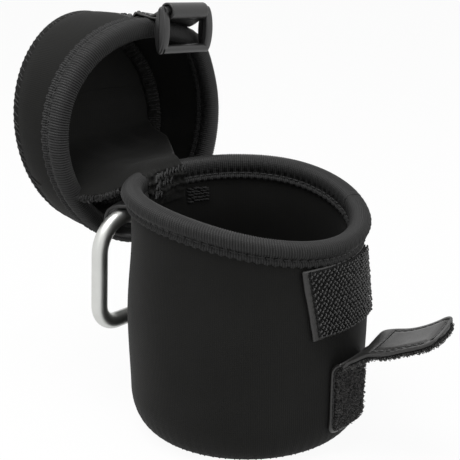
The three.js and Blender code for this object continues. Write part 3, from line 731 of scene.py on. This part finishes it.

# Webbing loops. Two nylon loops sewn to the back: the left one carries the carabiner. Each has
# a foot above and below its eye, held by four short rows of stitches.

# Woven nylon: a low sheen on ribs 0.9 mm apart, with checks of 0.6 mm where the yarns cross. The ribs' crowns
# are lighter in the colour, a painted highlight.
webbing, tree, shader = finish_named(
    "black_nylon_webbing", Roughness=0.5, Sheen_Weight=0.12, Specular_IOR_Level=0.45)
web_uv = node(tree, "UVMap", uv_map="UVMap")
checks = node(tree, "TexChecker", {"Vector": web_uv, "Scale": 1.6}).outputs["Fac"]
web_wave = node(tree, "TexWave", {"Vector": web_uv, "Scale": 0.36}, bands_direction="X").outputs["Fac"]
woven = node(tree, "Math", {0: web_wave, 1: checks}, operation="ADD")
web_bump = node(tree, "Bump", {"Height": woven, "Strength": 0.5, "Distance": 0.00015})
# the ribs' crowns lighter as a painted highlight
web_colour_with_painted_highlight = node(tree, "MixRGB", {"Fac": web_wave, "Color1": linear("#121212"), "Color2": linear("#272727")})
feed(shader, Base_Color=web_colour_with_painted_highlight, Normal=web_bump)
LOOP_TOP, LOOP_FOOT, LOOP_THICK, LOOP_WIDE = 90.4, 4.2, 1.3, 9
LEFT_LOOP, RIGHT_LOOP = radians(106), radians(66)
# one stitch of a foot: along its row in mm, and up from the webbing
FOOT_STITCH = (0, -0.3), (0.2, 0.22), (0.95, 0.3), (1.15, -0.3)


def webbing_loop(name, angle, eye, reach, stands_for):
    """A loop at this place round the sleeve; eye is its opening's height, reach how far it stands out."""
    eye_height = eye + 2 * LOOP_THICK

    def place(u, v):
        offset = 0.3 + LOOP_THICK
        z = LOOP_TOP - v / 0.2 * LOOP_FOOT
        if v > 0.8:
            z = LOOP_TOP - 2 * LOOP_FOOT - eye_height + (1 - v) / 0.2 * LOOP_FOOT
        elif v > 0.2:
            turn = (v - 0.2) / 0.6 * pi
            swell = sqrt(sin(turn))
            offset += reach * swell
            z = LOOP_TOP - LOOP_FOOT - eye_height / 2 + eye_height / 2 * cos(turn)
        return on_body(angle + (u - 0.5) * LOOP_WIDE / (sleeve_r(z) + offset), offset, z)

    made = piece(cloth(12, 60, place, (LOOP_WIDE, 46), flip=True), name, webbing,
                 "pouch_body", stands_for)
    thicken(made, LOOP_THICK)
    tacks = []
    for top in (LOOP_TOP - 0.6, LOOP_TOP - LOOP_FOOT - eye_height - 0.6):
        for line in range(4):
            for k in range(5):
                tacks.append([on_body(angle + (k * 1.6 - 3.6 + s) / LOW_R, 1.62 + lift, top - line)
                              for s, lift in FOOT_STITCH])
    strands(name + "_bartacks", tacks, 0.5)


webbing_loop("carabiner_webbing_loop", LEFT_LOOP, 11, 13.4, ["left_webbing_loop"])
webbing_loop("spare_webbing_loop", RIGHT_LOOP, 8.4, 3, ["right_webbing_loop"])

# Lid, side wall. A low cap of the same neoprene, drawn here as it lies closed and turned open
# about the hinge line. Its lower edge follows the slanted rim of the body.
LID_AXIS = Vector((0.96, -0.2071, -0.1883)).normalized()
HINGE = Vector((-9.05, 40.67, 76.88))
OPEN_TURN = Matrix.Rotation(radians(-99.84), 4, LID_AXIS)
LID_TURN = Matrix.Translation(HINGE) @ OPEN_TURN @ Matrix.Translation(-HINGE)
LID_WAY = LID_TURN.to_3x3()
LID_TOP, LID_TOP_R = 126.55, 46.3
# the top panel sits off the middle line
LID_SHIFT = Vector((-5.2, -6.7, 0))
LID_R, LID_OVAL, LID_GAP = 46.2, 0.035, 0.6


def lid_line(angle):
    """The lid's wall where it lies closed: a point of its edge, the way up, and how far it rises."""
    oval = 1 + LID_OVAL * cos(2 * (angle + radians(9)))
    # beside the tab the rim bulges forward
    oval += 0.06 * exp(-(remainder(angle - radians(-71), tau) / 0.27) ** 2)
    rim = around(LID_R * oval, angle, rim_z(angle) + LID_GAP)
    top = around(LID_TOP_R, angle, LID_TOP) + LID_SHIFT
    up = (top - rim).normalized()
    return rim, up, (LID_TOP - WALL - 0.3 - rim_z(angle) - LID_GAP) / up.z


def lid_swell(height, rise):
    """How far the wall stands out from the straight line between its edges."""
    return sin(pi * clamp(height / rise)) - 0.7 * clamp(1 - (rise - height) / 6) ** 2


def on_lid(angle, offset, height):
    """A point beside the lid's wall, in the open place; height is measured from its edge."""
    rim, up, rise = lid_line(angle)
    return LID_TURN @ (rim + up * height + around(offset + lid_swell(height, rise), angle))


def lid_out(angle):
    return (LID_WAY @ around(1, angle)).normalized()


LID_STITCHES = 104


def lid_side(u, v):
    angle = u * tau
    rise = lid_line(angle)[2] + 2.6
    height = mix(1.6, rise, v)
    soft = noise.noise(around(1.4, angle, height / 22) + Vector((7, 0, 0)))
    dimple = 0.2 * cos(angle * LID_STITCHES) * ease((v - 0.8) / 0.2)
    pinch = -0.3 * ease((height - rise + 1.2) / 1.2)
    return on_lid(angle, 0.5 * soft * sin(pi * v) ** 2 + dimple + pinch, height)


thicken(piece(
    cloth(312, 44, lid_side, (290, 42), ring=True),
    "lid_side", jersey, "lid", ["lid_wall"]), WALL)

# Lid, top panel. A slightly crowned disc of neoprene whose edge turns down and meets the wall
# in a raised seam.
DISC_R = LID_TOP_R - 0.9
CROWN, TURN_DOWN, TURN_RUN = 1.1, 1.9, 4.2


def lid_disc(u, v):
    angle = u * tau
    r = mix(DISC_R, 0, v)
    crown = CROWN * (1 - (r / DISC_R) ** 2)
    edge = -TURN_DOWN * ease((r - DISC_R + TURN_RUN) / TURN_RUN)
    edge += 0.08 * cos(angle * LID_STITCHES) * ease((r - DISC_R + 4.6) / 4)
    soft = 0.5 * noise.noise(around(r / 26, angle, 5.1))
    return LID_TURN @ (around(r, angle, LID_TOP + crown + edge - 0.3 + soft) + LID_SHIFT)


disc = lay_flat(cloth(208, 40, lid_disc, (250, 44), ring=True), LID_TURN.inverted())
thicken(piece(disc, "lid_top", jersey, "lid", ["lid_top_panel"]), WALL)

# Lid seam. Wall and top are joined edge to edge: outside, small slanting bars of thread cross
# the ridge; inside, the allowance is overlocked into a soft knobbly band.
ridge = []
for i in range(LID_STITCHES):
    a = (i + 0.3 * sin(i * 1.7)) / LID_STITCHES * tau
    b = a + 0.5 / LID_STITCHES * tau
    rise = lid_line(a)[2]
    ridge.append([
        on_lid(a, -0.3, rise - 0.9), on_lid(a, 0.16, rise - 0.3), on_lid(mix(a, b, 0.6), 0.12, rise + 0.9),
        on_lid(b, -0.1, rise + 1.9), on_lid(b, -0.9, rise + 2.4)])
strands("lid_seam_bars", ridge, 0.5, body="lid")

BAND_IN, BAND_DOWN, BAND_TILT = 9.6, 2.7, radians(52)
BAND_WIDE, BAND_THICK = 2.9, 1.25


def seam_band(u, v):
    """The overlocked allowance, seen from inside the lid: a fat band that stands off the corner."""
    angle, turn = u * tau, v * tau
    spot = around(20 + 1.2 * cos(turn), angle, 1.2 * sin(turn))
    lump = 1.3 * noise.noise(spot * 0.8) + 0.7 * noise.noise(spot * 1.7)
    along, across = (BAND_WIDE + 0.4 * lump) * cos(turn), (BAND_THICK + lump) * sin(turn)
    r = LID_TOP_R - BAND_IN + along * cos(BAND_TILT) - across * sin(BAND_TILT)
    z = LID_TOP - WALL - BAND_DOWN - along * sin(BAND_TILT) - across * cos(BAND_TILT)
    return LID_TURN @ (around(r, angle, z) + LID_SHIFT)


piece(cloth(640, 20, seam_band, (240, 12), ring=True, flip=True),
      "lid_overlocked_allowance", jersey, "lid", ["lid_seam"])
BAND_STITCHES = 120
looper = []
random.seed(8)
for i in range(BAND_STITCHES):
    for lag in (0, 0.0034):
        a = i / BAND_STITCHES + lag + random.uniform(-0.0006, 0.0006)
        slant = random.uniform(-0.0014, 0.0014)
        run = []
        for k in range(random.choice((3, 5, 7))):
            across_band = 0.01 + k * 0.085
            inner, outer = seam_band(a + k * slant, across_band), seam_band(a + k * slant, across_band + 0.5)
            run.append(inner + (inner - outer).normalized() * 0.08)
        looper.append(run)
strands("lid_overlock_thread", looper, 0.34, body="lid", sides=0)

# Lid binding. The same ribbed tape as on the body, sewn the same way. It starts at another
# place round the rim, so that the two tapes' stitches don't lie alike.
TAPE_PHASE = 4


def lid_tape(u, v):
    angle = u * tau
    return on_lid(angle, *folded_tape(angle + TAPE_PHASE, 1 - v))


piece(cloth(RIBS * 4, 34, lid_tape, (RIBS * RIB, 26), ring=True),
      "lid_binding", elastic, "lid", ["lid_rim_binding"])
rim_stitches("lid_binding_stitch", on_lid, lid_out, "lid")

# Hinge tongue. The lid's top panel runs on as a tongue of neoprene. It comes down out of the lid
# in a saddle, passes over the body's binding and is sewn inside the back wall with zigzag rows.
BACK_RIM = rim_z(BACK)
# each row: y, then x and z of its left edge, z of its middle, and x and z of its right edge
TONGUE = [
    (39.4, -14.6, 84.5, 84.5, 9.4, 84.5), (39.6, -14.6, 90.0, 90.0, 9.4, 90.0),
    (40.2, -14.6, 95.2, 95.2, 9.6, 95.2), (41.6, -14.7, 99.0, 99.4, 10.2, 99.3),
    (44.6, -15.6, 97.8, 101.6, 11.6, 101.3), (49.0, -17.8, 94.0, 101.0, 15.4, 101.2),
    (55.0, -20.8, 90.2, 99.0, 21.4, 100.8), (62.0, -24.4, 88.8, 98.0, 28.8, 100.6),
    (69.0, -26.8, 89.2, 98.2, 36.0, 101.0), (75.5, -28.4, 91.4, 100.2, 42.5, 102.4),
    (81.2, -28.8, 95.4, 104.6, 47.5, 105.0), (84.6, -27.8, 101.2, 110.0, 49.5, 109.0),
    (86.6, -25.0, 109.2, 116.5, 49.0, 114.5), (87.9, -21.4, 117.6, 123.5, 46.5, 121.0)]
PANEL_FACE = LID_TURN @ (Vector((0, 0, LID_TOP - WALL)) + LID_SHIFT)
PANEL_OUT = (LID_WAY @ Vector((0, 0, 1))).normalized()
SEWN_LEFT, SEWN_RIGHT, SEWN_R = -14.6, 9.4, 40
ZIGZAG_LOW, ZIGZAG_STEP = 89.0, 3.7


def tongue(u, v):
    y, left_x, left_z, middle_z, right_x, right_z = through(TONGUE, v)
    s = mix(-1, 1, u)
    # inside the sleeve the tongue lies round its curve; in the lid it is open
    open_share = ease((y - SEWN_R) / 14)
    x = mix(left_x, right_x, u)
    z = mix(mix(left_z, right_z, u), middle_z, 1 - s * s)
    turned = mix(SEWN_LEFT, SEWN_RIGHT, u) / SEWN_R
    depth = mix(y * cos(turned), y, open_share)
    x = mix(y * sin(turned), x, open_share)
    if open_share < 1:
        z += (rim_z(BACK - turned) - BACK_RIM) * (1 - open_share)
    puckers = 0.7 * noise.noise(Vector((x / 11, y / 13, 2.2)))
    puckers *= ease((y - 44) / 8) * (1 - ease((v - 0.8) / 0.2)) * (1 - ease((u - 0.75) / 0.2))
    # between its rows of zigzag the sewn end swells towards the inside of the pouch
    sewn = 1 - ease((v - 0.17) / 0.08)
    knobs = noise.noise(Vector((x / 2.1, z / 2.1, 4.4)))
    lump = 2.0 * exp(-((x + 3) / 4.5) ** 2 - ((z - 89.5) / 2.6) ** 2)
    rows = 1.1 * sin((z - ZIGZAG_LOW - 0.4) / ZIGZAG_STEP * pi) ** 2 + 1.0 * knobs
    swell = sewn * (rows * ease((z - 87) / 3) + lump + 0.3 * knobs) * ease((z - 84.4) / 1.2)
    point = Vector((x, depth - swell, z + puckers))
    # in the lid it lies on the inner face of the top panel
    if v > 0.62:
        miss = (PANEL_FACE - point).dot(PANEL_OUT) - 0.5
        point = point + PANEL_OUT * (miss * ease((v - 0.62) / 0.2))
        if v > 0.93:
            point = point + PANEL_OUT * (0.9 * ease((v - 0.93) / 0.07))
    return point


saddle = thicken(piece(
    cloth(96, 150, tongue, (52, 84), flip=True),
    "hinge_tongue_neoprene", jersey, None, ["hinge_tongue"]), 2.2, offset=1, even=False)
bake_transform(saddle)


# The lid's overlocked seam leaves its circle and runs on along the tongue's left edge to the hinge
SEAM_SPAN = 0.4, 0.65


def edge_seam(u, v):
    turn = u * tau
    at_edge = mix(*SEAM_SPAN, v)
    edge = tongue(0, at_edge)
    along = (tongue(0, at_edge + 0.01) - edge).normalized()
    side = along.cross(Vector((0, 0, 1))).normalized()
    over = side.cross(along)
    lump = 0.9 * noise.noise(Vector((v * 38, 1.5 * cos(turn), 1.5 * sin(turn))))
    reach = (1.0 + lump + 0.3 * sin(v * 61 * pi) * sin(v * 17)) * ease((1 - v) / 0.12)
    return edge + side * cos(turn) * reach * 1.15 + over * (sin(turn) * reach - 1.2)


seam_end = piece(cloth(18, 150, edge_seam, (10, 48), flip=True),
                 "tongue_edge_allowance", jersey, None)
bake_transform(seam_end)
EDGE_STITCHES = 52
edge_runs = []
for i in range(EDGE_STITCHES):
    for lag in (0, 0.4):
        v = min((i + lag) / EDGE_STITCHES, 0.985)
        centre = sum((edge_seam(k / 4, v) for k in range(4)), Vector()) / 4
        edge_runs.append([
            centre + (edge_seam(k / 8 + 0.05, min(v + k * 0.0035, 1)) - centre) * 1.13 for k in range(8)])
edge_thread = strands("tongue_edge_thread", edge_runs, 0.34, body=None, sides=0)
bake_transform(edge_thread)

# The rows of zigzag start at the left and reach this far to the right, lowest row first
ZIGZAG_REACH = -7.5, 0.5, 8.8
ZIGZAG_START, ZIGZAG_PITCH, ZIGZAG_TALL, ZIGZAG_R = -13.8, 0.95, 2.4, 37.1
zigzag = []
random.seed(5)
for row, reach in enumerate(ZIGZAG_REACH):
    run = []
    steps = round((reach - ZIGZAG_START) / ZIGZAG_PITCH)
    for k in range(steps):
        across = mix(ZIGZAG_START, reach, k / (steps - 1)) + random.uniform(-0.25, 0.25)
        angle = BACK - across / SEWN_R
        z = ZIGZAG_LOW + row * ZIGZAG_STEP + (ZIGZAG_TALL if k % 2 else 0)
        z += random.uniform(-0.5, 0.5) + rim_z(angle) - BACK_RIM
        run.append(around(ZIGZAG_R + random.uniform(-0.3, 0.4), angle, z))
    zigzag.append(run)
strands("tongue_zigzag", zigzag, 0.85)

# The right webbing loop's stitches come through to the inside of the wall, in uneven rows
TACK_ANGLE, TACK_LOW = radians(70.5), 81.5
# one stitch: along its row, and its distance from the middle line
TACK_ARC = (0, 41.0), (0.2, 40.4), (1.2, 40.4), (1.4, 41.0)
tack = []
for line in range(5):
    for k in range(7):
        angle = TACK_ANGLE - (k * 1.4 + random.uniform(-0.3, 0.3)) / 41
        z = TACK_LOW + line * 1.35 + random.uniform(-0.35, 0.35)
        tack.append([around(r, angle + s / 41, z + s * 0.3) for s, r in TACK_ARC])
strands("spare_loop_inner_bartack", tack, 0.6)

# Tab of the closure loop. A strip of faux leather sewn to the lid's front wall, led over the
# binding and rolled round the loop's upper bar.
BAR = Vector((-5.9, -51.1, 80))
# the loop hangs 12.5 degrees askew in the solids and is seen a little straighter
LOOP_SEEN = radians(5)
BAR_R = 1.9
bar_open = Vector((cos(LOOP_SEEN), 0, -sin(LOOP_SEEN)))
bar_along = LID_WAY.inverted() @ bar_open
bar_up = (Vector((0, 0, 1)) - bar_along * bar_along.z).normalized()
bar_out = bar_along.cross(bar_up)
TAB_WIDE, TAB_END_WIDE = 22, 23.4
TAB_ROLL = BAR_R + 1.6
TAB_ON_TAPE, TAB_ON_WALL, TAB_UNDER = 3.3, 0.45, 2.2


def tab(u, v):
    """Down the lid's wall and over the binding, round the bar, and back up between the two."""
    front = v < 0.6
    across = (u - 0.5) * mix(TAB_WIDE, TAB_END_WIDE, ease(v / 0.4))
    angle = atan2(BAR.y, BAR.x) + across / LID_R
    rim, up, rise = lid_line(angle)
    height = mix(20, 3.4, v / 0.42) if front else mix(-0.5, 8, (v - 0.86) / 0.14)
    lies = mix(TAB_ON_TAPE, TAB_ON_WALL, ease((height - 9.4) / 3)) if front else TAB_UNDER
    on_wall = rim + up * height + around(lies + lid_swell(height, rise), angle)
    wrap = radians(mix(-58, 196, clamp((v - 0.56) / 0.28)))
    roll = bar_out * cos(wrap) - bar_up * sin(wrap)
    on_bar = BAR + bar_along * across + roll * TAB_ROLL
    leaves = ease((v - 0.42) / 0.14) if front else 1 - ease((v - 0.84) / 0.06)
    return LID_TURN @ on_wall.lerp(on_bar, leaves)


thicken(piece(cloth(30, 110, tab, (22, 34), flip=True), "closure_tab", leather,
              "lid", ["ring_tab"]), 1.0)


def tab_line(t):
    u, v = between([(0.06, 0.42), (0.06, 0.02), (0.94, 0.02), (0.94, 0.42)], t)
    point = tab(u, v)
    out = (tab(u + 0.02, v) - point).cross(tab(u, v + 0.01) - point).normalized()
    return point - out * 0.05, -out


strands("closure_tab_stitch", running_stitch(tab_line, 20), 0.5, body="lid")

# Closure loop. A rectangular loop moulded in black nylon: two lens-shaped side plates with
# rounded edges, and two round bars.

# Moulded nylon: a satin skin with a faint ripple of 2 mm, glossier in broad patches of 17 mm
satin_nylon, tree, shader = finish_named(
    "black_moulded_nylon_satin", Roughness=0.3, Specular_IOR_Level=0.55)
where = node(tree, "TexCoord").outputs["Object"]
skin = node(tree, "TexNoise", {"Vector": where, "Scale": 500, "Detail": 3})
flow = node(tree, "TexNoise", {"Vector": where, "Scale": 60, "Detail": 2})
skin_bump = node(tree, "Bump", {"Height": skin, "Strength": 0.25, "Distance": 0.00006})
skin_gloss = node(tree, "MapRange", {0: flow, 3: 0.24, 4: 0.4})
skin_tone = node(tree, "MixRGB", {"Fac": flow, "Color1": linear("#1b1b1b"), "Color2": linear("#272727")})
feed(shader, Base_Color=skin_tone, Roughness=skin_gloss, Normal=skin_bump)

PLATE_X, PLATE_THICK, PLATE_HALF, PLATE_TALL = 14.4, 4.2, 2.8, 9.75
BARS_APART, BAR_LONG = 15.7, 28.8
bar_place = Matrix.Translation(LID_TURN @ BAR) @ Matrix.Rotation(LOOP_SEEN, 4, "Y")
loop_bm = bmesh.new()
for side in (-1, 1):
    made = bmesh.ops.create_circle(loop_bm, cap_ends=True, segments=48, radius=1)
    for vert in made["verts"]:
        turn = atan2(vert.co.y, vert.co.x)
        wide = copysign(abs(cos(turn)) ** 1.15, cos(turn))
        vert.co = Vector((side * PLATE_X - PLATE_THICK / 2, wide * PLATE_HALF,
                          sin(turn) * PLATE_TALL - BARS_APART / 2))
    face = made["verts"][0].link_faces[0]
    grown = bmesh.ops.extrude_face_region(loop_bm, geom=[face])
    moved = [g for g in grown["geom"] if isinstance(g, bmesh.types.BMVert)]
    bmesh.ops.translate(loop_bm, verts=moved, vec=(PLATE_THICK, 0, 0))
edges = [e for e in loop_bm.edges if len(e.link_faces) == 2 and e.calc_face_angle(0) > 0.9]
bmesh.ops.bevel(loop_bm, geom=edges, offset=0.9, segments=4, profile=0.5, affect="EDGES", material=-1)
for z in (0, -BARS_APART):
    bmesh.ops.create_cone(
        loop_bm, cap_ends=True, segments=32, radius1=BAR_R, radius2=BAR_R, depth=BAR_LONG,
        matrix=Matrix.Translation((0, 0, z)) @ Matrix.Rotation(pi / 2, 4, "Y"))
bmesh.ops.recalc_face_normals(loop_bm, faces=loop_bm.faces)
bmesh.ops.transform(loop_bm, matrix=Matrix.Scale(MM, 4) @ bar_place, verts=loop_bm.verts)
closure = piece(
    loop_bm, "closure_loop_moulded", satin_nylon, "closure_loop", ["closure_ring"])
closure.data.set_sharp_from_angle(angle=radians(50))

# Carabiner. A rod of 6.6 mm satin anodised aluminium, bent to a long ring. Its upper bend runs
# through the left webbing loop.

# Anodised aluminium: a satin metal, duller in patches where it is handled. Its drawn lines are
# 0.4 mm wide, coarser than real ones, so that they show.
anodised, tree, shader = finish_named("satin_anodised_aluminium", Metallic=1, Roughness=0.3)
where = node(tree, "TexCoord").outputs["Object"]
brush = node(tree, "Mapping", {"Vector": where, "Scale": (1, 1, 0.12)})
drawn_lines = node(tree, "TexNoise", {"Vector": brush, "Scale": 2600, "Detail": 3})
handled = node(tree, "TexNoise", {"Vector": where, "Scale": 90, "Detail": 4})
line_bump = node(tree, "Bump", {"Height": drawn_lines, "Strength": 0.15, "Distance": 0.00004})
wear = node(tree, "MapRange", {0: handled, 3: 0.36, 4: 0.52})
metal_tone = node(tree, "MixRGB", {"Fac": handled, "Color1": linear("#c6c7c4"), "Color2": linear("#dedfdc")})
feed(shader, Base_Color=metal_tone, Roughness=wear, Normal=line_bump)

BEND, ROD_LONG, ROD_CORNER, ROD_R = 13.75, 31.2, 9.0, 3.3
lean = Matrix.Rotation(radians(-5), 3, "Z") @ Matrix.Rotation(radians(4), 3, "X")
EYE_Z = LOOP_TOP - LOOP_FOOT - LOOP_THICK - 5.5 + 1.2
ring_centre = on_body(LEFT_LOOP, 7.5, EYE_Z) - lean @ Vector((0, 0, BEND))


def on_ring(x, z):
    return ring_centre + lean @ Vector((x, 0, z))


rod = [on_ring(BEND, -1.0)]
for i in range(49):
    turn = i / 48 * pi
    rod.append(on_ring(BEND * cos(turn), BEND * sin(turn)))
for side, quarter in ((-1, 0), (1, 1)):
    for i in range(17):
        turn = (quarter + i / 16) * pi / 2
        rod.append(on_ring(side * (BEND - ROD_CORNER) - ROD_CORNER * cos(turn),
                           -ROD_LONG + ROD_CORNER - ROD_CORNER * sin(turn)))
rod.append(on_ring(BEND, -20.4))
strands("carabiner_rod", [rod], 2 * ROD_R, anodised, "carabiner", sides=10)


def refined(name, source, bevel, material, body):
    """A CAD piece with its edges eased: a merged copy of its mesh, bevelled, that stands for it."""
    bm = bmesh.new()
    bm.from_mesh(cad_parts[source].data)
    bmesh.ops.remove_doubles(bm, verts=bm.verts, dist=0.00002)
    bmesh.ops.dissolve_limit(bm, angle_limit=0.02, verts=bm.verts, edges=bm.edges)
    made = piece(bm, name, material, body, [source])
    made.data.set_sharp_from_angle(angle=radians(34))
    if bevel:
        eased = made.modifiers.new("eased edges", "BEVEL")
        eased.width = bevel * MM
        eased.segments = 2
        eased.limit_method = "ANGLE"
        eased.angle_limit = radians(40)
    return made


# the rod's flattened tangs, below and above the gate: blocks with eased edges
TANG_WIDE, TANG_THICK = 5.6, 2
tangs = bmesh.new()
for low, high in ((-20.5, -14.2), (-4.0, -0.6)):
    made = bmesh.ops.create_cube(tangs, size=1)
    for vert in made["verts"]:
        vert.co = Vector((
            vert.co.x * TANG_WIDE + BEND, vert.co.y * TANG_THICK, mix(low, high, vert.co.z + 0.5)))
bmesh.ops.bevel(
    tangs, geom=list(tangs.edges), offset=0.5, segments=3, profile=0.5, affect="EDGES", material=-1)
for vert in tangs.verts:
    vert.co = (ring_centre + lean @ vert.co) * MM
tang_piece = piece(tangs, "carabiner_tangs", anodised, "carabiner", ["carabiner_body"])
tang_piece.data.set_sharp_from_angle(angle=radians(40))
refined("carabiner_gate_bar", "carabiner_gate", 0.25, anodised, "gate")

# Rivet and spring of the gate: plain bright steel, the rivet's ends turned flat. The steel is
# bright and a little stained, with fine lines 0.35 mm apart, as the tool leaves them.
bright_steel, tree, shader = finish_named("bright_turned_steel", Metallic=1, Roughness=0.22)
where = node(tree, "TexCoord").outputs["Object"]
turned = node(tree, "TexWave", {"Vector": where, "Scale": 900}, wave_type="RINGS").outputs["Fac"]
stain = node(tree, "TexNoise", {"Vector": where, "Scale": 300, "Detail": 3})
steel_tone = node(tree, "MixRGB", {"Fac": stain, "Color1": linear("#8f908e"), "Color2": linear("#b9bab7")})
turned_bump = node(tree, "Bump", {"Height": turned, "Strength": 0.2, "Distance": 0.00003})
feed(shader, Base_Color=steel_tone, Normal=turned_bump)
refined("gate_rivet_steel", "gate_rivet", 0.2, bright_steel, "carabiner")
refined("gate_spring_steel", "gate_spring", 0, bright_steel, "gate")

# Floor, light and camera. A white sweep, large soft lamps from above, the left and the front,
# and the camera at the photograph's place.
FLOOR_HALF, FLOOR_WHITE = 3, 0.94
floor_bm = bmesh.new()
bmesh.ops.create_grid(floor_bm, x_segments=1, y_segments=1, size=FLOOR_HALF)
floor_mesh = bpy.data.meshes.new("floor")
floor_bm.to_mesh(floor_mesh)
floor_bm.free()
floor = placed("floor", floor_mesh)
floor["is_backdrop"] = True
white_floor, tree, shader = finish_named("white_paper_sweep", Roughness=0.9, Specular_IOR_Level=0.2)
shader.inputs["Base Color"].default_value = linear("#f7f7f6")
# seen straight by the camera, the sweep is mostly plain white, and the object's shadow stays on it
ray = node(tree, "LightPath")
straight = node(
    tree, "Math", {0: ray.outputs["Is Camera Ray"], 1: ray.outputs["Is Glossy Ray"]}, operation="MAXIMUM")
lit_share = node(tree, "Math", {0: straight, 1: FLOOR_WHITE}, operation="MULTIPLY")
white = node(tree, "Emission", {"Color": (1, 1, 1, 1), "Strength": 1.0})
blended = node(tree, "MixShader", {0: lit_share, 1: shader, 2: white})
tree.links.new(blended.outputs[0], tree.nodes["Material Output"].inputs["Surface"])
floor_mesh.materials.append(white_floor)

# The world lights the object softly, and is plain white where it is seen, mirrored or seen through
WORLD_LIGHT, WORLD_SEEN = 0.4, 1.0
world = bpy.data.worlds.new("studio")
bpy.context.scene.world = world
world.use_nodes = True
sky = world.node_tree
sky.nodes["Background"].inputs["Color"].default_value = (1, 1, 1, 1)
ray = node(sky, "LightPath")
seen = node(
    sky, "Math", {0: ray.outputs["Is Camera Ray"], 1: ray.outputs["Is Glossy Ray"]}, operation="MAXIMUM")
seen_too = node(sky, "Math", {0: seen, 1: ray.outputs["Is Transmission Ray"]}, operation="MAXIMUM")
level = node(sky, "MapRange", {0: seen_too, 3: WORLD_LIGHT, 4: WORLD_SEEN})
sky.links.new(level.outputs[0], sky.nodes["Background"].inputs["Strength"])


def lamp(name, place, aim, size, power):
    light = bpy.data.lights.new(name, "AREA")
    light.shape = "RECTANGLE"
    light.size, light.size_y = size
    light.energy = power
    made = placed(name, light)
    made.location = place
    made.rotation_euler = (Vector(aim) - Vector(place)).to_track_quat("-Z", "Y").to_euler()


lamp("top_softbox", (-0.25, 0.05, 0.9), (0, 0, 0.08), (0.6, 0.6), 6.5)
lamp("left_softbox", (-0.85, 0.05, 0.5), (0, 0, 0.07), (0.5, 0.6), 0.3)
lamp("front_softbox", (0.2, -0.9, 0.5), (0, 0, 0.05), (0.6, 0.6), 1.5)

camera_data = bpy.data.cameras.new("camera")
camera = placed("camera", camera_data)
camera_data.lens = 93.565
camera_data.sensor_width = 36
camera_data.clip_start, camera_data.clip_end = 0.05, 20
right = Vector((0.59863, -0.80097, -0.00911))
up = Vector((0.23977, 0.16832, 0.95613))
behind = Vector((-0.76429, -0.57456, 0.29281))
facing = Matrix((right, up, behind)).transposed()
camera.matrix_world = Matrix.Translation((-0.36129, -0.2636, 0.21647)) @ facing.to_4x4()
bpy.context.scene.camera = camera
bpy.context.scene.view_settings.view_transform = "Standard"

low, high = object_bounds()
